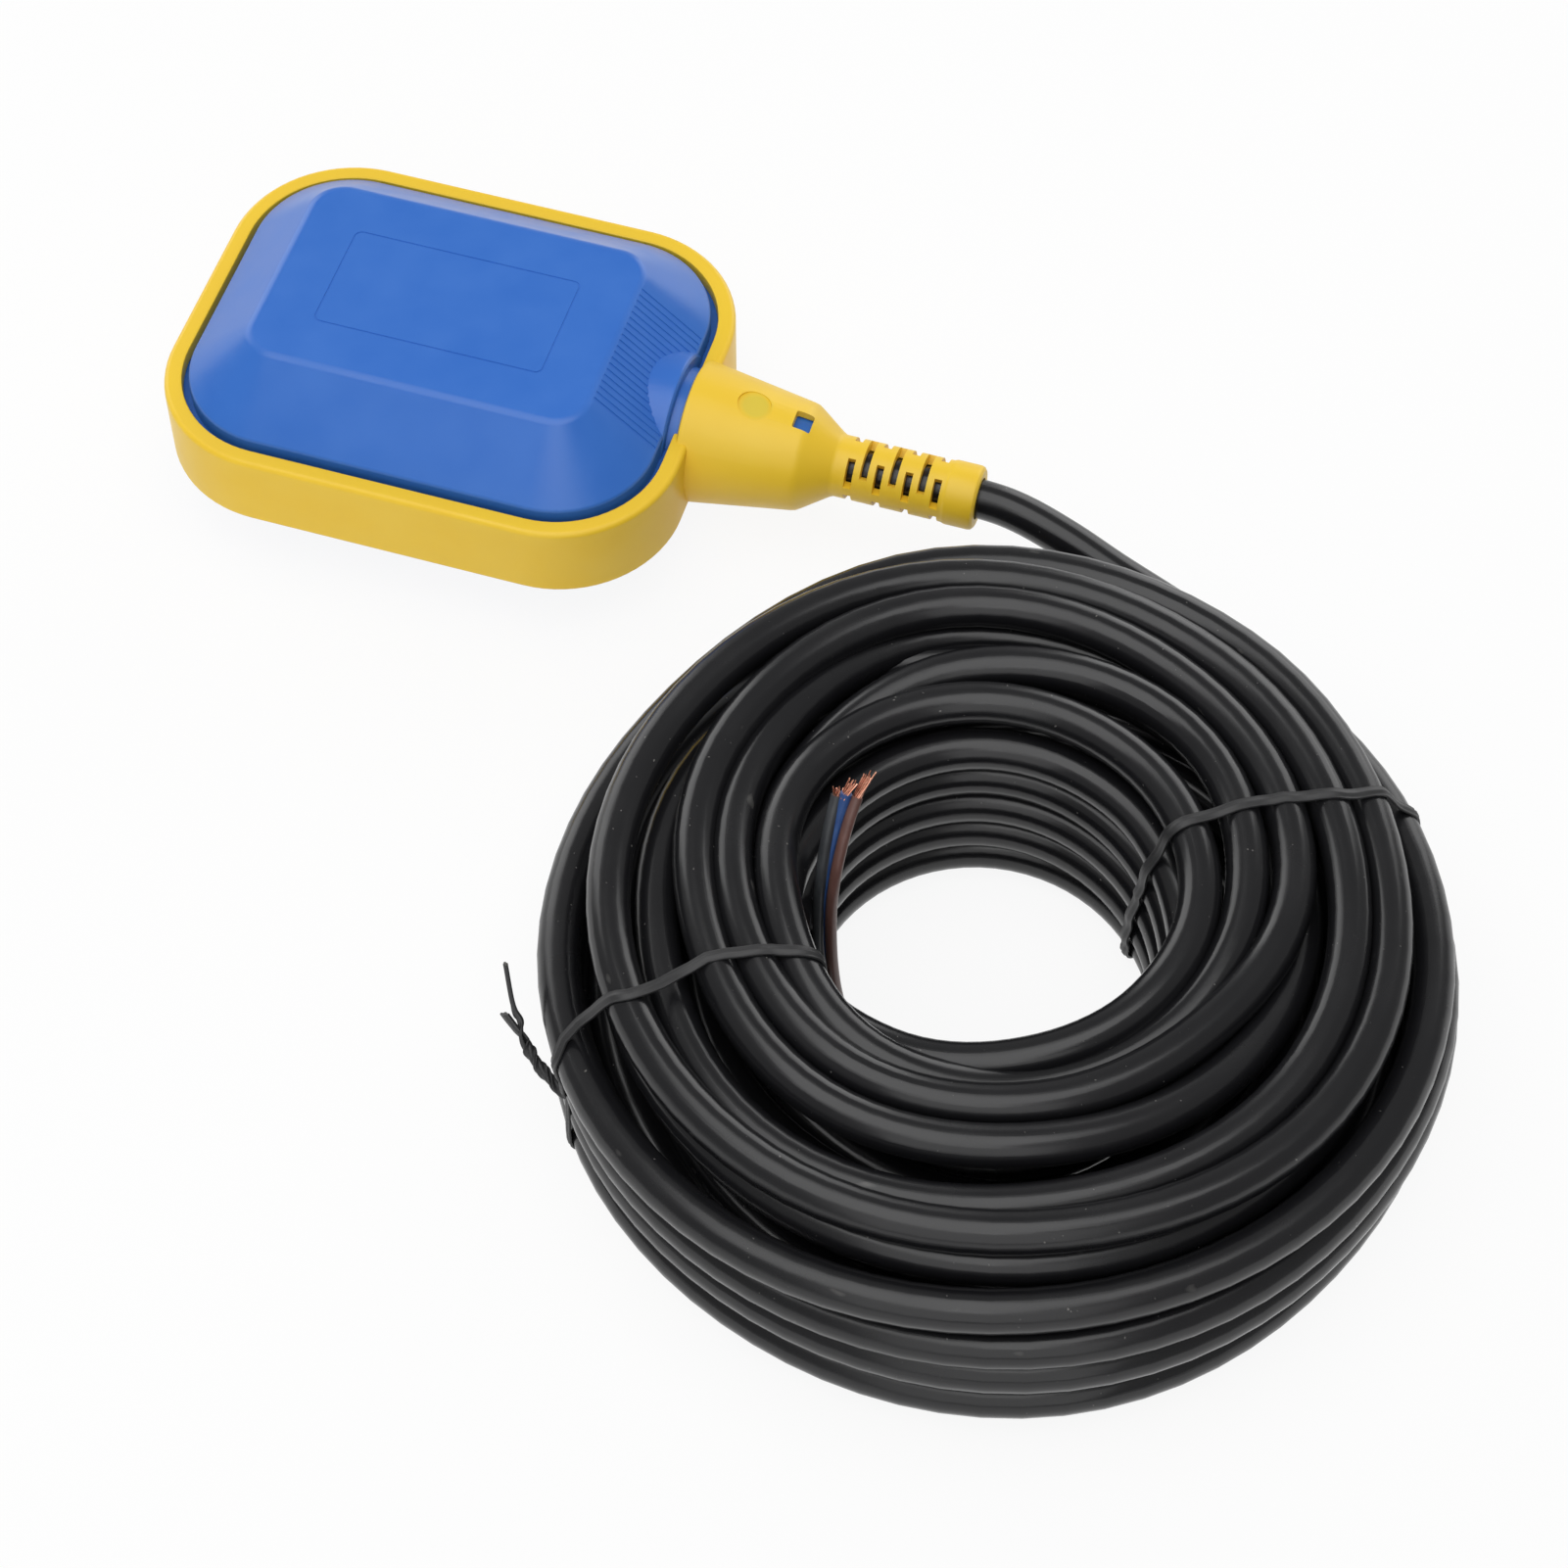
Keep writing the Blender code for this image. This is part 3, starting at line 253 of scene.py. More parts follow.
def smooth_route(points, steps):
    """Points on a smooth curve through given ones."""
    padded = [2 * points[0] - points[1], *points, 2 * points[-1] - points[-2]]
    route = []
    for a, b, c, d in zip(padded, padded[1:], padded[2:], padded[3:]):
        for step in range(steps):
            route.append(Vector([eased(*four, step / steps) for four in zip(a, b, c, d)]))
    return route + [points[-1]]


def heading(points, i):
    """The direction of a route at its i-th point."""
    return (points[min(i + 1, len(points) - 1)] - points[max(i - 1, 0)]).normalized()


def skin(name, places, points, sharp):
    """A closed mesh over rings of places, with a UV map in metres along it and turns round it."""
    bm = bmesh.new()
    uv = bm.loops.layers.uv.new("along")
    rings = [[bm.verts.new(place) for place in ring] for ring in places]
    sides = len(rings[0])
    runs = [0.0]
    for a, b in zip(points, points[1:]):
        runs.append(runs[-1] + (b - a).length)
    for i in range(len(rings) - 1):
        for k in range(sides):
            n = (k + 1) % sides
            face = bm.faces.new((rings[i][k], rings[i][n], rings[i + 1][n], rings[i + 1][k]))
            corners = ((runs[i], k), (runs[i], k + 1), (runs[i + 1], k + 1), (runs[i + 1], k))
            for loop, (run, at) in zip(face.loops, corners):
                loop[uv].uv = (run, at / sides)
    bm.faces.new(rings[0])
    bm.faces.new(rings[-1])
    bmesh.ops.recalc_face_normals(bm, faces=bm.faces)
    mesh = bpy.data.meshes.new(name)
    bm.to_mesh(mesh)
    bm.free()
    mesh.shade_smooth()
    mesh.set_sharp_from_angle(angle=math.radians(sharp))
    piece = bpy.data.objects.new(name, mesh)
    bpy.context.collection.objects.link(piece)
    return piece


def tube(name, points, radius, sides):
    """A round tube with closed ends along points."""
    rings = []
    turns = [2 * math.pi * k / sides for k in range(sides)]
    side = Vector((0, 0, 1))
    for i, point in enumerate(points):
        ahead = heading(points, i)
        side = (side - ahead * side.dot(ahead)).normalized()
        other = ahead.cross(side)
        rings.append([point + radius * (math.cos(turn) * side + math.sin(turn) * other) for turn in turns])
    return skin(name, rings, points, 60)


lead_route = [
    Vector((0.0520, 0.0, FLOAT_Z)),
    Vector((0.0650, 0.0, FLOAT_Z)),
    Vector((0.0791, 0.0, FLOAT_Z)),
    Vector((0.0875, -0.0009, 0.0205)),
    Vector((0.0975, -0.0030, 0.0185)),
    Vector((0.1075, -0.0056, 0.0158)),
    Vector((0.1185, -0.0086, 0.0136)),
    Vector((0.1285, -0.0124, 0.0126)),
    Vector((0.1395, -0.0187, 0.0132)),
    Vector((0.14975, -0.02755, 0.0150)),
    Vector((0.1605, -0.0375, 0.0178)),
    Vector((0.1695, -0.0495, 0.0200)),
]
stations, angle = lay_laps(OUTER_LAPS, START_ANGLE)
for height, quarters, inwards in LAYERS:
    for quarter in range(quarters):
        lap = (quarter if inwards else OUTWARD_START - quarter) // 4
        stations.append((angle, HIDDEN_RADIUS - LAP_PITCH * lap, height))
        angle -= 90
stations += lay_laps(TOP_LAPS, angle)[0]
last_lap = round((stations[-1][0] - SHEATH_END[0]) / 360)
stations.append((SHEATH_END[0] + 360 * last_lap, *SHEATH_END[1:]))
coil_points = wind(stations)
lead_points = smooth_route(lead_route + [coil_points[0]], LEAD_STEPS)
cable_points = lead_points[:-1] + coil_points
cable = tube("supply_cable", cable_points, CABLE_RADIUS, CABLE_SIDES)
inner_end = min(corner[0] for corner in bpy.data.objects["cable_lead"].bound_box)
held = [
    Vector((inner_end + (HELD_END_X - inner_end) * step / HELD_STEPS, 0.0, FLOAT_Z))
    for step in range(HELD_STEPS + 1)
]
held_end = tube("cable_end_in_float", held, CABLE_RADIUS, CABLE_SIDES)


def noise(material, scale, detail, vector):
    """Soft random blotches."""
    return add_node(material, "ShaderNodeTexNoise", {"Scale": scale, "Detail": detail}, {"Vector": vector})


def two_tone(material, first, second, share):
    """A colour that goes from the first to the second with the share."""
    tones = {"data_type": "RGBA", 6: (*linear(first), 1), 7: (*linear(second), 1)}
    return add_node(material, "ShaderNodeMix", tones, {0: share})


def relief(material, strength, depth, height):
    """Fine bumps, with their depth in metres."""
    return add_node(material, "ShaderNodeBump", {"Strength": strength, "Distance": depth}, {"Height": height})


# Glossy extruded PVC: faint draw lines along the cable, hazy patches where it was handled, a few
# pale specks of dust and short scuffs across it.
black_pvc = empty_material("black_pvc_sheath")
place = add_node(black_pvc, "ShaderNodeTexCoord").outputs["Object"]
along = add_node(black_pvc, "ShaderNodeUVMap", {"uv_map": "along"}).outputs["UV"]
stretched = add_node(black_pvc, "ShaderNodeMapping", {"Scale": (6, 40, 1)}, {"Vector": along})
lines = noise(black_pvc, 1.0, 3.0, stretched.outputs[0])
haze = noise(black_pvc, 45.0, 5.0, place)
gloss = add_node(
    black_pvc,
    "ShaderNodeMapRange",
    {"From Min": 0.3, "From Max": 0.7, "To Min": 0.17, "To Max": 0.3},
    {"Value": haze.outputs["Fac"]},
)
dust = noise(black_pvc, 1100.0, 1.0, place)
specks = add_node(
    black_pvc,
    "ShaderNodeMapRange",
    {"From Min": 0.78, "From Max": 0.82, "To Min": 0.0, "To Max": 0.5},
    {"Value": dust.outputs["Fac"]},
)
worn = add_node(black_pvc, "ShaderNodeMapping", {"Scale": (90, 5, 1)}, {"Vector": along})
rubs = noise(black_pvc, 1.0, 2.0, worn.outputs[0])
scuffs = add_node(
    black_pvc,
    "ShaderNodeMapRange",
    {"From Min": 0.72, "From Max": 0.8, "To Min": 0.0, "To Max": 0.35},
    {"Value": rubs.outputs["Fac"]},
)
marks = add_node(
    black_pvc, "ShaderNodeMath", {"operation": "MAXIMUM"}, {0: specks.outputs[0], 1: scuffs.outputs[0]}
)
tint = two_tone(black_pvc, "#18181A", "#8C8A86", marks.outputs[0])
grooves = relief(black_pvc, 0.25, 0.0001, lines.outputs["Fac"])
shader = add_node(
    black_pvc,
    "ShaderNodeBsdfPrincipled",
    {"IOR": 1.5},
    {"Base Color": tint.outputs[2], "Roughness": gloss.outputs[0], "Normal": grooves.outputs[0]},
)
add_node(black_pvc, "ShaderNodeOutputMaterial", None, {"Surface": shader.outputs[0]})
for piece in (cable, held_end):
    piece.data.materials.append(black_pvc)
    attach(piece, "float")
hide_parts("cable_lead", "cable_coil")

# The bared end: three PVC-covered cores come out of the cut sheath low in the coil's eye, rise
# along its inner wall and end in tufts of fine bare copper strands, twisted and a little splayed.

# Colour, route and tip of each core: azimuth in degrees round the coil's axis, radius and height
# in millimetres.
CORES = (
    (
        "brown",
        (
            (-140, 29.1, 3.6), (-146, 28.9, 3.2), (-152, 26.9, 2.2), (-158, 25.6, 1.6),
            (-164, 25.9, 1.8), (-168, 26.9, 3.6), (-169.8, 27.8, 7.0), (-170.8, 28.6, 12.5),
            (-172.7, 29.3, 20.0), (-175.8, 29.8, 29.5), (-179.5, 29.7, 37.5), (174.5, 29.7, 42.6),
            (168.4, 29.8, 46.9), (162.6, 30.1, 50.0),
        ),
        (154.3, 30.4, 53.3),
    ),
    (
        "blue",
        (
            (-140, 31.2, 3.6), (-146, 31.0, 3.5), (-152, 29.2, 2.9), (-158, 27.6, 2.8),
            (-164, 27.6, 3.2), (-170.5, 28.7, 5.0), (-173.8, 30.1, 10.5), (-175.4, 31.0, 18.5),
            (-178.0, 31.4, 28.6), (179.6, 31.4, 34.8), (174.2, 31.6, 40.6), (169.4, 31.7, 45.4),
            (164.0, 31.8, 50.7),
        ),
        (160.2, 31.8, 52.4),
    ),
    (
        "black",
        (
            (-140, 30.3, 5.5), (-146, 30.0, 5.4), (-151, 28.8, 5.2), (-156, 28.0, 5.6),
            (-163, 28.0, 6.6), (-169.5, 29.3, 8.6), (-173.2, 30.8, 12.5), (-174.2, 31.8, 20.0),
            (-177.1, 32.2, 30.0), (-179.6, 32.3, 36.5), (175.0, 32.6, 42.0), (169.6, 32.9, 46.6),
            (165.2, 33.3, 49.8),
        ),
        (163.6, 33.6, 50.9),
    ),
)
CORE_RADIUS = 0.00105
CORE_SIDES = 14
CORE_STEPS = 6
STRANDS = 14
STRAND_RADIUS = 0.000125
STRAND_SIDES = 6
STRAND_STEPS = 6
STRAND_ANGLE = 2.4  # in radians, from one strand to the next
STRAND_LAY = 0.9  # in radians, how far a strand turns on its way out
BUNDLE_RADIUS = 0.00072
TUCKED_IN = 0.0012
FIRST_SEED = 7


def pvc(name, colour, worn):
    """Soft insulating PVC: one dyed colour, paler where it was scraped while the sheath was cut."""
    material = empty_material(name)
    along = add_node(material, "ShaderNodeUVMap", {"uv_map": "along"}).outputs["UV"]
    stretched = add_node(material, "ShaderNodeMapping", {"Scale": (300, 3, 1)}, {"Vector": along})
    scrapes = noise(material, 1.0, 3.0, stretched.outputs[0])
    tint = two_tone(material, colour, worn, scrapes.outputs["Fac"])
    bump = relief(material, 0.2, 0.0001, scrapes.outputs["Fac"])
    shader = add_node(
        material,
        "ShaderNodeBsdfPrincipled",
        {"Roughness": 0.38, "IOR": 1.52},
        {"Base Color": tint.outputs[2], "Normal": bump.outputs[0]},
    )
    add_node(material, "ShaderNodeOutputMaterial", None, {"Surface": shader.outputs[0]})
    return material


def drawn_copper():
    """Bright soft copper wire, smooth from drawing, with a slightly uneven tarnish."""
    material = empty_material("drawn_copper_strand")
    place = add_node(material, "ShaderNodeTexCoord").outputs["Object"]
    tarnish = noise(material, 900.0, 3.0, place)
    tint = two_tone(material, "#FFC6AC", "#B5694C", tarnish.outputs["Fac"])
    shader = add_node(
        material,
        "ShaderNodeBsdfPrincipled",
        {"Metallic": 1.0, "Roughness": 0.22},
        {"Base Color": tint.outputs[2]},
    )
    add_node(material, "ShaderNodeOutputMaterial", None, {"Surface": shader.outputs[0]})
    return material


def pick(*pieces):
    """Select these objects only, with the first one active."""
    bpy.ops.object.select_all(action="DESELECT")
    for piece in pieces:
        piece.select_set(True)
    bpy.context.view_layer.objects.active = pieces[0]


def join(pieces):
    """Put several solids into the first one's mesh."""
    pick(*pieces)
    bpy.ops.object.join()
    return pieces[0]


def tuft(name, root, tip, seed):
    """The strands in one mesh: they leave the core together, twist and part at their ends."""
    scatter = random.Random(seed)
    ahead = (tip - root).normalized()
    side = ahead.orthogonal().normalized()
    other = ahead.cross(side)
    strands = []
    for i in range(STRANDS):
        turn = STRAND_ANGLE * i
        home = BUNDLE_RADIUS * math.sqrt(i / STRANDS)
        away = home * scatter.uniform(1.0, 2.2)
        reach = scatter.uniform(0.6, 1.0) * (tip - root).length
        points = []
        for step in range(STRAND_STEPS + 1):
            t = step / STRAND_STEPS
            swing = turn + STRAND_LAY * t
            out = home + (away - home) * t * t
            aside = math.cos(swing) * side + math.sin(swing) * other
            points.append(root + ahead * (reach * t - TUCKED_IN * (1 - t)) + out * aside)
        strands.append(tube(f"{name}_{i}", points, STRAND_RADIUS, STRAND_SIDES))
    bundle = join(strands)
    bundle.name = bundle.data.name = name
    return bundle


copper = drawn_copper()
CORE_LOOKS = {
    "brown": ("#523630", "#785750"),
    "blue": ("#1D3A75", "#3F6299"),
    "black": ("#26282B", "#4A4D50"),
}
for number, (colour, route, tip) in enumerate(CORES):
    points = smooth_route([round_the_coil(*place) for place in route], CORE_STEPS)
    core = tube(f"{colour}_insulation", points, CORE_RADIUS, CORE_SIDES)
    core.data.materials.append(pvc(f"{colour}_core_pvc", *CORE_LOOKS[colour]))
    strands = tuft(f"{colour}_copper", points[-1], round_the_coil(*tip), FIRST_SEED + number)
    strands.data.materials.append(copper)
    bared = ((core, f"core_{colour}", colour), (strands, f"strands_{colour}", "copper"))
    for piece, node, slot in bared:
        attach(piece, "float")
        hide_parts(node)

# Two black wire ties hold the coil: flat plastic strip with a wire down its middle, drawn tight
# round all the turns and closed by twisting the two ends together, which then stick out.

TIES = (
    # name, plane across the turns, azimuths at rising radii over the top, azimuth at the inner foot,
    # height of the twist, and the places that the two tails pass
    (
        "left",
        -145.0,
        (
            (33.0, -141.3), (41.0, -146.0), (51.0, -148.0), (56.0, -147.0), (62.0, -144.7), (67.0, -144.4),
            (71.3, -146.0), (74.6, -147.1), (78.0, -146.3), (80.0, -144.4),
        ),
        -144.0,
        19.0,
        (
            (
                (-149.3, 81.5, 20.0), (-152.2, 83.3, 22.0), (-153.8, 83.3, 25.0),
                (-154.9, 84.2, 29.5), (-158.0, 84.8, 35.0),
            ),
            ((-149.3, 81.5, 20.0), (-152.2, 83.3, 22.0), (-153.4, 85.0, 24.0), (-154.3, 86.6, 27.0)),
        ),
    ),
    (
        "right",
        36.5,
        ((33.0, 41.3), (49.0, 39.5), (56.0, 37.5), (63.0, 35.8), (80.0, 35.8)),
        49.5,
        9.0,
        (
            ((39.5, 83.0, 8.0), (43.0, 83.6, 7.0), (46.0, 84.5, 6.0), (48.5, 86.5, 5.0)),
            ((39.5, 83.0, 8.0), (43.0, 83.6, 7.0), (45.5, 83.0, 4.5), (48.0, 83.4, 2.6)),
        ),
    ),
)
TIE_HALF = 0.0011
TIE_EDGE = 0.00022
# The loop, in millimetres: the middle of the strip lies TIE_CENTRE from a turn's centre, and it
# may sink to TIE_CLOSEST where it sags over a gap wider than LONG_SPAN.
TIE_CENTRE = 4.1
TIE_CLOSEST = 4.05
TIE_LOWEST = 0.35
LONG_SPAN = 3
SAG_CUT = 0.1
COIL_HEIGHT = 47
OUTER_RADIUS = 70
FOOT_RADIUS = 35
FOOT_RUN = 43
SAG_SHARE = 0.055  # of the span
ROUND_STEPS = 24
SPAN_STEPS = 8
# The tails: TAIL_APART is how far each lies from the middle of the two, in metres, and the rest
# are steps along them
TAIL_APART = 0.0005
TAIL_STEPS = 12
TAIL_RUN_IN = 4
TWIST_STEPS = 24
HALF_TURN_STEPS = 8


def crossings(azimuth):
    """Radius and height in millimetres where the cable crosses the upright plane at an azimuth."""
    found = []
    turn = math.radians(azimuth)
    across = Vector((-math.sin(turn), math.cos(turn), 0))
    out = Vector((math.cos(turn), math.sin(turn), 0))
    centre = Vector((COIL_X, COIL_Y, 0))
    for a, b in zip(cable_points, cable_points[1:]):
        start, end = (a - centre).dot(across), (b - centre).dot(across)
        if start * end < 0:
            place = a + (b - a) * (start / (start - end)) - centre
            if place.dot(out) > 0:
                found.append((1000 * place.dot(out), 1000 * place.z))
    return found


def tight_loop(azimuth):
    """The tightest way round the cable's turns, as radius and height in millimetres."""
    places = []
    turns = crossings(azimuth)
    for radius, height in turns:
        for step in range(ROUND_STEPS):
            turn = 2 * math.pi * step / ROUND_STEPS
            low = height + TIE_CENTRE * math.sin(turn)
            places.append((radius + TIE_CENTRE * math.cos(turn), max(low, TIE_LOWEST)))
    places = sorted(set(places))
    hull = []
    for run in (places, places[::-1]):
        side = []
        for c in run:
            while len(side) > 1:
                a, b = side[-2:]
                if (b[0] - a[0]) * (c[1] - a[1]) - (b[1] - a[1]) * (c[0] - a[0]) > 0:
                    break
                side.pop()
            side.append(c)
        hull += side[:-1]
    loop = []
    for (r0, z0), (r1, z1) in zip(hull, hull[1:] + hull[:1]):
        span = math.hypot(r1 - r0, z1 - z0)
        loop.append((r0, z0))
        for step in range(1, SPAN_STEPS if span > LONG_SPAN else 1):
            sag = SAG_SHARE * span * math.sin(math.pi * step / SPAN_STEPS) ** 2
            place = None
            while not place or (sag > 0 and any(math.dist(place, turn) < TIE_CLOSEST for turn in turns)):
                place = (
                    r0 + (r1 - r0) * step / SPAN_STEPS - sag * (z1 - z0) / span,
                    z0 + (z1 - z0) * step / SPAN_STEPS + sag * (r1 - r0) / span,
                )
                sag -= SAG_CUT
            loop.append(place)
    return loop


def strip(name, points, across):
    """A flat strip with a raised wire down its middle, along points, each with its own width direction."""
    shape = (
        (-1.0, 0.0), (-0.93, 1.0), (-0.42, 0.8), (-0.2, 1.9), (0.2, 1.9), (0.42, 0.8), (0.93, 1.0),
        (1.0, 0.0), (0.93, -1.0), (0.42, -0.8), (0.2, -1.9), (-0.2, -1.9), (-0.42, -0.8), (-0.93, -1.0),
    )
    rings = []
    for i, point in enumerate(points):
        ahead = heading(points, i)
        wide = (across[i] - ahead * across[i].dot(ahead)).normalized()
        thick = ahead.cross(wide)
        rings.append([point + wide * (w * TIE_HALF) + thick * (t * TIE_EDGE) for w, t in shape])
    return skin(name, rings, points, 50)


def wire_tie(name, plane, over, foot, twist, tails):
    """One tie: its loop round the turns from the twist and back, then the two tails, twisted and parted."""
    loop = tight_loop(plane)
    outside = [i for i in range(len(loop)) if loop[i][0] >= OUTER_RADIUS]
    start = min(outside, key=lambda i: abs(loop[i][1] - twist))
    points, across = [], []
    for radius, height in loop[start:] + loop[: start + 1]:
        above = over[-1][1]
        for (r0, a0), (r1, a1) in zip(over, over[1:]):
            if radius < r1:
                above = a0 + (a1 - a0) * max(0.0, radius - r0) / (r1 - r0)
                break
        below = foot + (over[-1][1] - foot) * min(1.0, max(0.0, (radius - FOOT_RADIUS) / FOOT_RUN))
        azimuth = above + (below - above) * min(1.0, max(0.0, (COIL_HEIGHT - height) / COIL_HEIGHT))
        points.append(round_the_coil(azimuth, radius, height))
        turn = math.radians(azimuth)
        across.append(Vector((-math.sin(turn), math.cos(turn), 0)))
    pieces = [strip(f"{name}_loop", points, across)]
    for number, tail in enumerate(tails):
        route = smooth_route([points[0], *(round_the_coil(*place) for place in tail)], TAIL_STEPS)
        twisted, widths = [], []
        for i, point in enumerate(route):
            ahead = heading(route, i)
            aside = ahead.cross(Vector((0, 0, 1))).normalized()
            half_turns = number + min(i, TWIST_STEPS) / HALF_TURN_STEPS
            aside = Matrix.Rotation(math.pi * half_turns, 3, ahead) @ aside
            twisted.append(point + TAIL_APART * min(1.0, i / TAIL_RUN_IN) * aside)
            widths.append(ahead.cross(aside))
        pieces.append(strip(f"{name}_tail_{number}", twisted, widths))
    tie = join(pieces)
    tie.name = tie.data.name = name
    return tie


tie_black = empty_material("pvc_coated_tie")
along = add_node(tie_black, "ShaderNodeUVMap", {"uv_map": "along"}).outputs["UV"]
stretched = add_node(tie_black, "ShaderNodeMapping", {"Scale": (250, 14, 1)}, {"Vector": along})
creases = noise(tie_black, 1.0, 4.0, stretched.outputs[0])
tint = two_tone(tie_black, "#1B1B1C", "#3A3A3B", creases.outputs["Fac"])
bump = relief(tie_black, 0.35, 0.0001, creases.outputs["Fac"])
shader = add_node(
    tie_black,
    "ShaderNodeBsdfPrincipled",
    {"Roughness": 0.48, "IOR": 1.5},
    {"Base Color": tint.outputs[2], "Normal": bump.outputs[0]},
)
add_node(tie_black, "ShaderNodeOutputMaterial", None, {"Surface": shader.outputs[0]})
for name, *numbers in TIES:
    tie = wire_tie(f"{name}_wire_tie", *numbers)
    tie.data.materials.append(tie_black)
    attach(tie, "float")
    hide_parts(f"tie_{name}")

# Inside the float, out of sight: a two-part capsule of natural polypropylene holds the snap
# switch, its steel lever and the steel ball; a clamp and a rubber seal hold the cable's end.


def moulded(name, colour, other, patch, roughness, spread, grain, depth, metallic=0.0):
    """Two close colours in soft patches, uneven gloss and a fine grain: patch, grain and depth in mm."""
    material = empty_material(name)
    place = add_node(material, "ShaderNodeTexCoord").outputs["Object"]
    patches = noise(material, 1000 / patch, 4.0, place)
    tint = two_tone(material, colour, other, patches.outputs["Fac"])
    gloss = add_node(
        material,
        "ShaderNodeMapRange",
        {"From Min": 0.3, "From Max": 0.7, "To Min": roughness - spread, "To Max": roughness + spread},
        {"Value": patches.outputs["Fac"]},
    )
    fine = noise(material, 1000 / grain, 2.0, place)
    bump = relief(material, 0.3, depth / 1000, fine.outputs["Fac"])
    shader = add_node(
        material,
        "ShaderNodeBsdfPrincipled",
        {"Metallic": metallic, "IOR": 1.5},
        {"Base Color": tint.outputs[2], "Roughness": gloss.outputs[0], "Normal": bump.outputs[0]},
    )
    add_node(material, "ShaderNodeOutputMaterial", None, {"Surface": shader.outputs[0]})
    return material


INSIDE = (
    # name, the two colours, patch, roughness and its spread, grain, its depth, metallic; then the pieces
    (
        ("natural_polypropylene", "#D9D6CC", "#CFCBBE", 8.0, 0.5, 0.06, 0.4, 0.02),
        ("capsule_base", "capsule_cover"),
    ),
    (("ground_steel_ball", "#D2D4D6", "#C4C6C9", 3.0, 0.16, 0.03, 0.2, 0.002, 1.0), ("steel_ball",)),
    (
        ("rolled_stainless_strip", "#C3C4C4", "#B2B3B4", 2.5, 0.3, 0.06, 0.15, 0.004, 1.0),
        ("switch_lever", "lever_pin", "switch_pin_lower", "switch_pin_upper"),
    ),
    (
        ("zinc_plated_screw", "#C9CCD0", "#B4B8BE", 1.5, 0.28, 0.06, 0.2, 0.004, 1.0),
        ("clamp_screw_left", "clamp_screw_right"),
    ),
    (
        ("stamped_brass", "#D8B562", "#C9A24E", 2.0, 0.27, 0.05, 0.2, 0.003, 1.0),
        ("terminal_common", "terminal_spare", "terminal_switched"),
    ),
    (("black_switch_phenolic", "#1E1E1F", "#282829", 4.0, 0.44, 0.05, 0.25, 0.015), ("microswitch_case",)),
    (("red_switch_button", "#A62A22", "#B4362C", 2.0, 0.4, 0.05, 0.25, 0.01), ("switch_plunger",)),
    (("grey_nylon_clamp", "#6C6F73", "#777A7E", 5.0, 0.48, 0.05, 0.3, 0.02), ("clamp_lower", "clamp_upper")),
    (("black_seal_rubber", "#19191A", "#222223", 4.0, 0.62, 0.05, 0.3, 0.03), ("cable_seal",)),
    (("brown_inner_wire", "#5C3A33", "#6B463D", 2.0, 0.4, 0.05, 0.3, 0.01), ("wire_brown",)),
    (("blue_inner_wire", "#1F3F86", "#2B4D96", 2.0, 0.4, 0.05, 0.3, 0.01), ("wire_blue",)),
    (("black_inner_wire", "#232426", "#2E2F31", 2.0, 0.4, 0.05, 0.3, 0.01), ("wire_black",)),
)
for look, names in INSIDE:
    material = moulded(*look)
    for name in names:
        node = bpy.data.objects[name]
        node.data.materials.clear()
        node.data.materials.append(material)

# The two blue shells: ABS mouldings, the lower one the same shape turned over. Each has a flat
# top, four slopes with conical corners, a half-round boss round the cable and a nose in the neck.

FLOAT_X = -0.0275
BAND_HALF_X = 0.0516
BAND_HALF_Y = 0.0400
BAND_CORNER = 0.0240
CORNER_STEPS = 18
TURNED_SIDES = 64
NEAR = 1e-5


def rounded_box(name, half_x, half_y, corner, bottom, top, middle_x=0.0):
    """A block with rounded upright corners, between two heights from the float's middle."""
    bpy.ops.object.select_all(action="DESELECT")
    bpy.ops.mesh.primitive_plane_add(size=1, location=(FLOAT_X + middle_x, 0, FLOAT_Z + bottom))
    block = bpy.context.object
    block.name = name
    block.scale = (2 * half_x, 2 * half_y, 1)
    bpy.ops.object.transform_apply()
    bpy.ops.object.mode_set(mode="EDIT")
    bpy.ops.mesh.bevel(offset=corner, segments=CORNER_STEPS, affect="VERTICES", profile=0.5)
    bpy.ops.mesh.select_all(action="SELECT")
    bpy.ops.mesh.extrude_region_move(TRANSFORM_OT_translate={"value": (0, 0, top - bottom)})
    bpy.ops.mesh.select_all(action="SELECT")
    bpy.ops.mesh.normals_make_consistent(inside=False)
    bpy.ops.object.mode_set(mode="OBJECT")
    return block


def rounded_plate(name, inset, bottom, top):
    """A plate with the float's outline, drawn in by inset."""
    return rounded_box(name, BAND_HALF_X - inset, BAND_HALF_Y - inset, BAND_CORNER - inset, bottom, top)


def choose(piece, kind, test):
    """Open a piece in edit mode with only the faces or edges that pass the test selected."""
    pick(piece)
    bpy.ops.object.mode_set(mode="EDIT")
    bpy.ops.mesh.select_mode(type=kind)
    bpy.ops.mesh.select_all(action="DESELECT")
    bm = bmesh.from_edit_mesh(piece.data)
    for item in bm.faces if kind == "FACE" else bm.edges:
        if test(item):
            item.select_set(True)
    bmesh.update_edit_mesh(piece.data)


def round_edges(piece, test, offset, segments):
    """Round the edges that pass the test."""
    choose(piece, "EDGE", test)
    bpy.ops.mesh.bevel(offset=offset, segments=segments, affect="EDGES", profile=0.5)
    bpy.ops.object.mode_set(mode="OBJECT")


def at_height(edge, height):
    """Whether an edge lies level at a height above or below the float's middle."""
    return all(abs(v.co.z - FLOAT_Z - height) < NEAR for v in edge.verts)


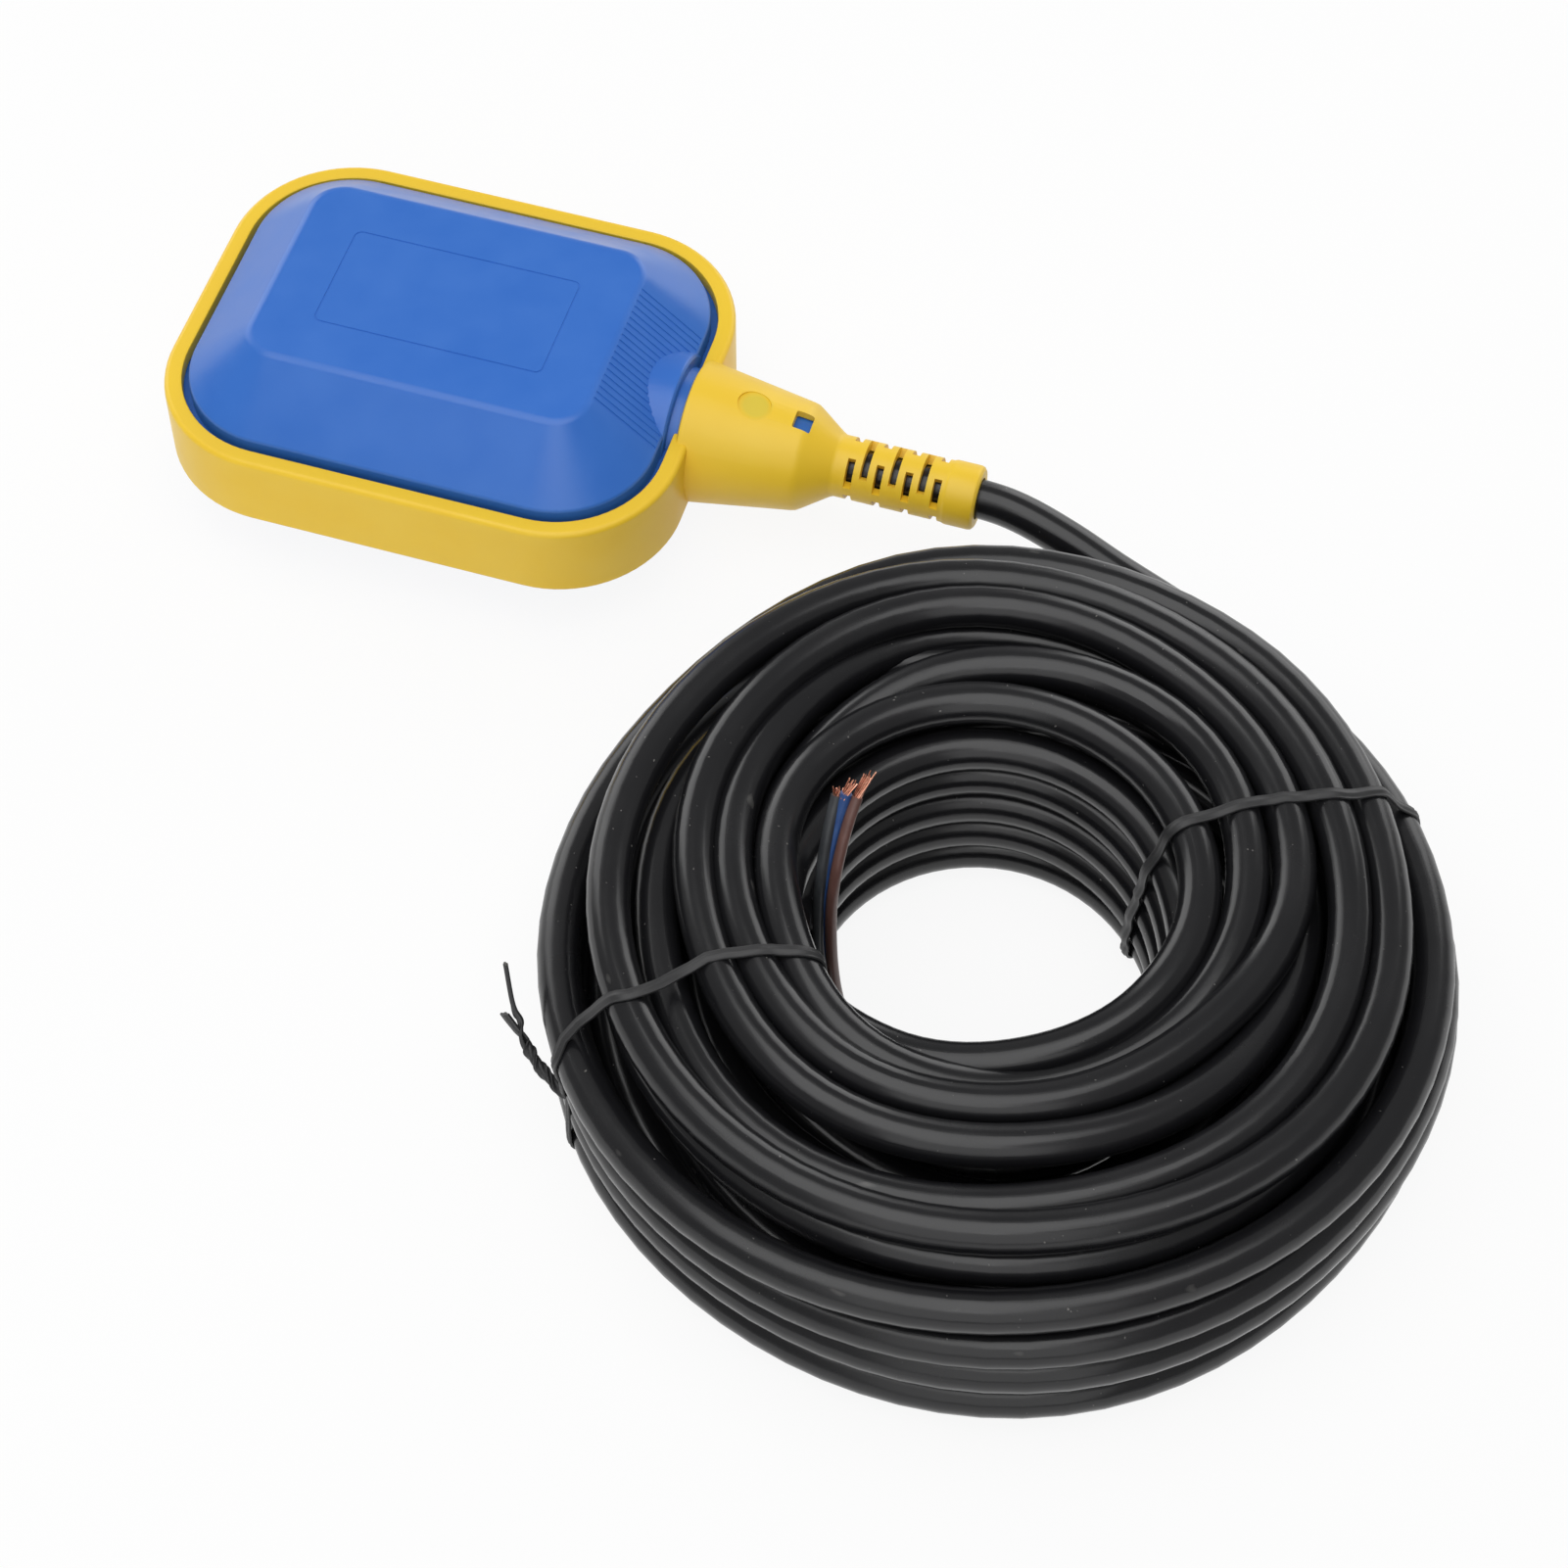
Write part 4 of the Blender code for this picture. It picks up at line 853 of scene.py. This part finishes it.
def turned(name, steps):
    """A solid turned about the cable's axis: a disc, extruded and resized from (x, radius) to the next."""
    bpy.ops.object.select_all(action="DESELECT")
    bpy.ops.mesh.primitive_circle_add(
        vertices=TURNED_SIDES,
        radius=steps[0][1],
        fill_type="NGON",
        location=(steps[0][0] + FLOAT_X, 0, FLOAT_Z),
        rotation=(0, math.radians(90), 0),
    )
    piece = bpy.context.object
    piece.name = name
    bpy.ops.object.transform_apply()
    bpy.ops.object.mode_set(mode="EDIT")
    for (x0, r0), (x1, r1) in zip(steps, steps[1:]):
        bpy.ops.mesh.extrude_region_move(TRANSFORM_OT_translate={"value": (x1 - x0, 0, 0)})
        scale = r1 / r0
        bpy.ops.transform.resize(
            value=(1, scale, scale),
            center_override=(x1 + FLOAT_X, 0, FLOAT_Z),
        )
    bpy.ops.mesh.select_all(action="SELECT")
    bpy.ops.mesh.normals_make_consistent(inside=False)
    bpy.ops.object.mode_set(mode="OBJECT")
    return piece


def combine(piece, tool, operation, solver="EXACT"):
    """Join a tool to a piece or cut it away, and throw the tool away."""
    modifier = piece.modifiers.new("combine", "BOOLEAN")
    modifier.operation = operation
    modifier.solver = solver
    modifier.object = tool
    pick(piece)
    bpy.ops.object.modifier_apply(modifier=modifier.name)
    bpy.data.objects.remove(tool)


def smooth_off(piece, angle=30.0):
    """Merge doubles, shade smooth up to an angle, and let the large faces rule the shading."""
    pick(piece)
    bpy.ops.object.mode_set(mode="EDIT")
    bpy.ops.mesh.select_all(action="SELECT")
    bpy.ops.mesh.remove_doubles(threshold=1e-6)
    bpy.ops.mesh.normals_make_consistent(inside=False)
    bpy.ops.object.mode_set(mode="OBJECT")
    bpy.ops.object.shade_smooth_by_angle(angle=math.radians(angle))
    modifier = piece.modifiers.new("even_shading", "WEIGHTED_NORMAL")
    modifier.keep_sharp = True
    bpy.ops.object.modifier_apply(modifier=modifier.name)


FOOT_INSET = 0.0049
SLOPE_RUN = 0.0127
SHOULDER = 0.00955
HALF_HEIGHT = FLOAT_Z
SLOPE_ANGLE = math.atan2(HALF_HEIGHT - SHOULDER, SLOPE_RUN)
HALF_GAP = 0.00015  # the shells lie 0.3 mm apart
FLANGE_INSET = 0.0019
FLANGE_TOP = 0.0055
GRIPS = 20
GRIP_PITCH = 0.0015
GRIP_BAR = (0.0158, 0.0005, 0.0003)
# Half length, half width and corner of the engraved line's outer and inner edge
LINE_OUTER = (0.0231, 0.0121, 0.0016)
LINE_INNER = (0.02275, 0.01175, 0.00125)
LINE_FLOOR = 0.02073
LINE_X = 0.0001
CAVITY_INSET = 0.0069
CAVITY_SHOULDER = 0.00865
CAVITY_RUN = 0.01146
CAVITY_RISE = 0.0102


def stepped_plate(name, start, steps):
    """A rounded plate whose top face is drawn in and raised, step by step."""
    piece = rounded_plate(name, *start)
    top = FLOAT_Z + start[2] - NEAR
    choose(piece, "FACE", lambda f: f.normal.z > 0.9 and f.calc_center_median().z > top)
    for thickness, depth in steps:
        if thickness:
            bpy.ops.mesh.inset(thickness=thickness, depth=depth)
        else:
            bpy.ops.mesh.extrude_region_move(TRANSFORM_OT_translate={"value": (0, 0, depth)})
    bpy.ops.object.mode_set(mode="OBJECT")
    return piece


def grip_cutters():
    """Bars for the fine grooves down the slope beside the boss."""
    bars = []
    middle_x = BAND_HALF_X - FOOT_INSET - SLOPE_RUN / 2 + FLOAT_X
    middle_z = FLOAT_Z + (SHOULDER + HALF_HEIGHT) / 2
    for i in range(GRIPS):
        bpy.ops.object.select_all(action="DESELECT")
        bpy.ops.mesh.primitive_cube_add(
            size=1,
            location=(middle_x, (i - (GRIPS - 1) / 2) * GRIP_PITCH, middle_z),
            rotation=(0, SLOPE_ANGLE, 0),
        )
        bar = bpy.context.object
        bar.scale = GRIP_BAR
        bpy.ops.object.transform_apply()
        bars.append(bar)
    return join(bars)


blue_shell = stepped_plate(
    "upper_half",
    (FLANGE_INSET, HALF_GAP, FLANGE_TOP),
    ((FOOT_INSET - FLANGE_INSET, 0), (0, SHOULDER - FLANGE_TOP), (SLOPE_RUN, HALF_HEIGHT - SHOULDER)),
)
round_edges(blue_shell, lambda e: at_height(e, HALF_HEIGHT), 0.0010, 4)
round_edges(blue_shell, lambda e: at_height(e, SHOULDER), 0.0005, 3)
frame_line = rounded_box("frame_line", *LINE_OUTER, LINE_FLOOR, 0.0212, LINE_X)
frame_core = rounded_box("frame_core", *LINE_INNER, 0.0206, 0.0213, LINE_X)
combine(frame_line, frame_core, "DIFFERENCE")
combine(blue_shell, frame_line, "DIFFERENCE")
combine(blue_shell, grip_cutters(), "DIFFERENCE")
boss = turned(
    "boss",
    (
        (0.0340, 0.0146),
        (0.0461, 0.0146),
        (0.0466, 0.01447),
        (0.0469, 0.0140),
        (0.04691, 0.01198),
        (0.0730, 0.0085),
    ),
)
combine(blue_shell, boss, "UNION", "MANIFOLD")
cavity = stepped_plate("cavity", (CAVITY_INSET, -0.0006, CAVITY_SHOULDER), ((CAVITY_RUN, CAVITY_RISE),))
combine(blue_shell, cavity, "DIFFERENCE")
channel = turned(
    "channel",
    (
        (0.0320, 0.0126),
        (0.0447, 0.0126),
        (0.04471, 0.0080),
        (0.0627, 0.0080),
        (0.06271, 0.0041),
        (0.0750, 0.0041),
    ),
)
combine(blue_shell, channel, "DIFFERENCE")
combine(blue_shell, rounded_box("far_half", 0.10, 0.06, 0.001, -0.03, HALF_GAP), "DIFFERENCE")
blue_shell.name = blue_shell.data.name = "shell_above"
smooth_off(blue_shell)
lower_shell = blue_shell.copy()
lower_shell.data = blue_shell.data.copy()
lower_shell.name = lower_shell.data.name = "shell_below"
bpy.context.collection.objects.link(lower_shell)
middle = Matrix.Translation((0, 0, FLOAT_Z))
lower_shell.data.transform(middle @ Matrix.Rotation(math.pi, 4, "X") @ middle.inverted())

blue_abs = moulded("moulded_blue_abs", "#2F6BC6", "#3774CD", 9.0, 0.33, 0.05, 0.3, 0.015)
for shell, node in ((blue_shell, "upper_shell"), (lower_shell, "lower_shell")):
    shell.data.materials.clear()
    shell.data.materials.append(blue_abs)
    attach(shell, "float")
    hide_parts(node)

# The yellow frame: one polypropylene moulding, a band round the float with a turned neck, cone
# and slotted strain relief on its front. Its lips hold both shells, and it is pushed over them.

BAND_TOP = 0.00855
LIP = 0.0035
LIP_UNDERSIDE = 0.0058
SKIN = 0.0016
SLOT_PITCH = 0.0057
SHORT_SLOTS_X = 0.0818
LONG_SLOTS_X = 0.08465
SLOT_SIZE = (0.0015, 0.0042, 1)
SLOT_RADIUS = 0.0059
WINDOW_X = 0.0713
WINDOW_SIZE = (0.0035, 0.0042, 0.04)
MARK_X = 0.0618
MARK_RADIUS = 0.0033


def at_lip(edge):
    """Whether a sharp edge goes round the opening between the lips, above or below."""
    level = at_height(edge, BAND_TOP) or at_height(edge, -BAND_TOP)
    inner = all(
        abs(v.co.y) < BAND_HALF_Y - LIP + NEAR and abs(v.co.x - FLOAT_X) < BAND_HALF_X - LIP + NEAR
        for v in edge.verts
    )
    return level and inner and len(edge.link_faces) == 2 and edge.calc_face_angle() > 1


yellow_frame = rounded_plate("frame", 0, -BAND_TOP, BAND_TOP)
round_edges(yellow_frame, lambda e: at_height(e, BAND_TOP) or at_height(e, -BAND_TOP), 0.0011, 4)
combine(yellow_frame, rounded_plate("opening", LIP, -0.02, 0.02), "DIFFERENCE")
round_edges(yellow_frame, at_lip, 0.0004, 2)
combine(yellow_frame, rounded_plate("shell_room", SKIN, -LIP_UNDERSIDE, LIP_UNDERSIDE), "DIFFERENCE")
neck = turned(
    "neck",
    (
        (0.0491, 0.0133),
        (0.0494, 0.0138),
        (0.0500, 0.01388),
        (0.0714, 0.01062),
        (0.0722, 0.01040),
        (0.0730, 0.00990),
        (0.0780, 0.00645),
        (0.0788, 0.00605),
        (0.1002, 0.00605),
        (0.1006, 0.00618),
        (0.1010, 0.00630),
        (0.1056, 0.00630),
        (0.1062, 0.00612),
        (0.1066, 0.00560),
    ),
)
combine(yellow_frame, neck, "UNION")
bore = turned(
    "bore",
    (
        (0.0456, 0.01253),
        (0.0733, 0.0088),
        (0.07331, 0.0041),
        (0.1101, 0.0041),
    ),
)
combine(yellow_frame, bore, "DIFFERENCE")


def slot_cutter(place, middle, spread):
    """A thick slice of arc round the cable: a small plate spun about the cable's axis."""
    bpy.ops.object.select_all(action="DESELECT")
    bpy.ops.mesh.primitive_plane_add(size=1, location=(place + FLOAT_X, SLOT_RADIUS, FLOAT_Z))
    cutter = bpy.context.object
    cutter.scale = SLOT_SIZE
    bpy.ops.object.transform_apply()
    bpy.ops.object.mode_set(mode="EDIT")
    bpy.ops.mesh.select_all(action="SELECT")
    bpy.ops.mesh.spin(steps=12, angle=math.radians(spread), center=(FLOAT_X, 0, FLOAT_Z), axis=(1, 0, 0))
    bpy.ops.mesh.select_all(action="SELECT")
    bpy.ops.mesh.normals_make_consistent(inside=False)
    bpy.ops.object.mode_set(mode="OBJECT")
    turn = Matrix.Rotation(math.radians(middle + spread / 2), 4, "X")
    axis = Matrix.Translation((0, 0, FLOAT_Z))
    cutter.data.transform(axis @ turn @ axis.inverted())
    return cutter


slots = []
for start, rings, middles, spread in (
    (SHORT_SLOTS_X, 4, (39, 141, 219, 321), 58),
    (LONG_SLOTS_X, 3, (90, 270), 112),
):
    for ring in range(rings):
        slots += [slot_cutter(start + SLOT_PITCH * ring, middle, spread) for middle in middles]
combine(yellow_frame, join(slots), "DIFFERENCE")


def window_cutter():
    """The square window that shows the shells' nose, above and below."""
    bpy.ops.object.select_all(action="DESELECT")
    bpy.ops.mesh.primitive_cube_add(size=1, location=(WINDOW_X + FLOAT_X, 0, FLOAT_Z))
    window = bpy.context.object
    window.scale = WINDOW_SIZE
    bpy.ops.object.transform_apply()
    round_edges(window, lambda e: abs(e.verts[0].co.z - e.verts[1].co.z) > 0.01, 0.0004, 3)
    return window


def dimple_cutter(side):
    """The shallow round mark of an ejector pin on the neck."""
    bpy.ops.object.select_all(action="DESELECT")
    bpy.ops.mesh.primitive_cylinder_add(
        vertices=40,
        radius=MARK_RADIUS,
        depth=0.004,
        location=(MARK_X + FLOAT_X, 0, FLOAT_Z + side * 0.01355),
        rotation=(0, side * math.radians(8.7), 0),
    )
    dimple = bpy.context.object
    bpy.ops.object.transform_apply()
    return dimple


combine(yellow_frame, window_cutter(), "DIFFERENCE")
for side in (1, -1):
    combine(yellow_frame, dimple_cutter(side), "DIFFERENCE")
yellow_frame.name = yellow_frame.data.name = "frame_moulding"
smooth_off(yellow_frame)

yellow_pp = moulded("moulded_yellow_polypropylene", "#F8D135", "#F4C72B", 14.0, 0.42, 0.06, 0.35, 0.02)
# Under the ejector mark the wall is thin, and the blue below tints it a little green
flat = add_node(
    yellow_pp,
    "ShaderNodeVectorMath",
    {"operation": "MULTIPLY", 1: (1, 1, 0)},
    {0: add_node(yellow_pp, "ShaderNodeTexCoord").outputs["Object"]},
)
away = add_node(
    yellow_pp,
    "ShaderNodeVectorMath",
    {"operation": "DISTANCE", 1: (MARK_X + FLOAT_X, 0, 0)},
    {0: flat.outputs["Vector"]},
)
thin = add_node(
    yellow_pp,
    "ShaderNodeMapRange",
    {"From Min": 0.0022, "From Max": 0.0036, "To Min": 0.4, "To Max": 0.0},
    {"Value": away.outputs["Value"]},
)
shader = next(node for node in yellow_pp.node_tree.nodes if node.type == "BSDF_PRINCIPLED")
base = shader.inputs["Base Color"].links[0].from_socket
tint = add_node(
    yellow_pp,
    "ShaderNodeMix",
    {"data_type": "RGBA", 7: (*linear("#BFC24E"), 1)},
    {0: thin.outputs[0], 6: base},
)
yellow_pp.node_tree.links.new(tint.outputs[2], shader.inputs["Base Color"])
yellow_frame.data.materials.clear()
yellow_frame.data.materials.append(yellow_pp)
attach(yellow_frame, "float")
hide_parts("yellow_frame")
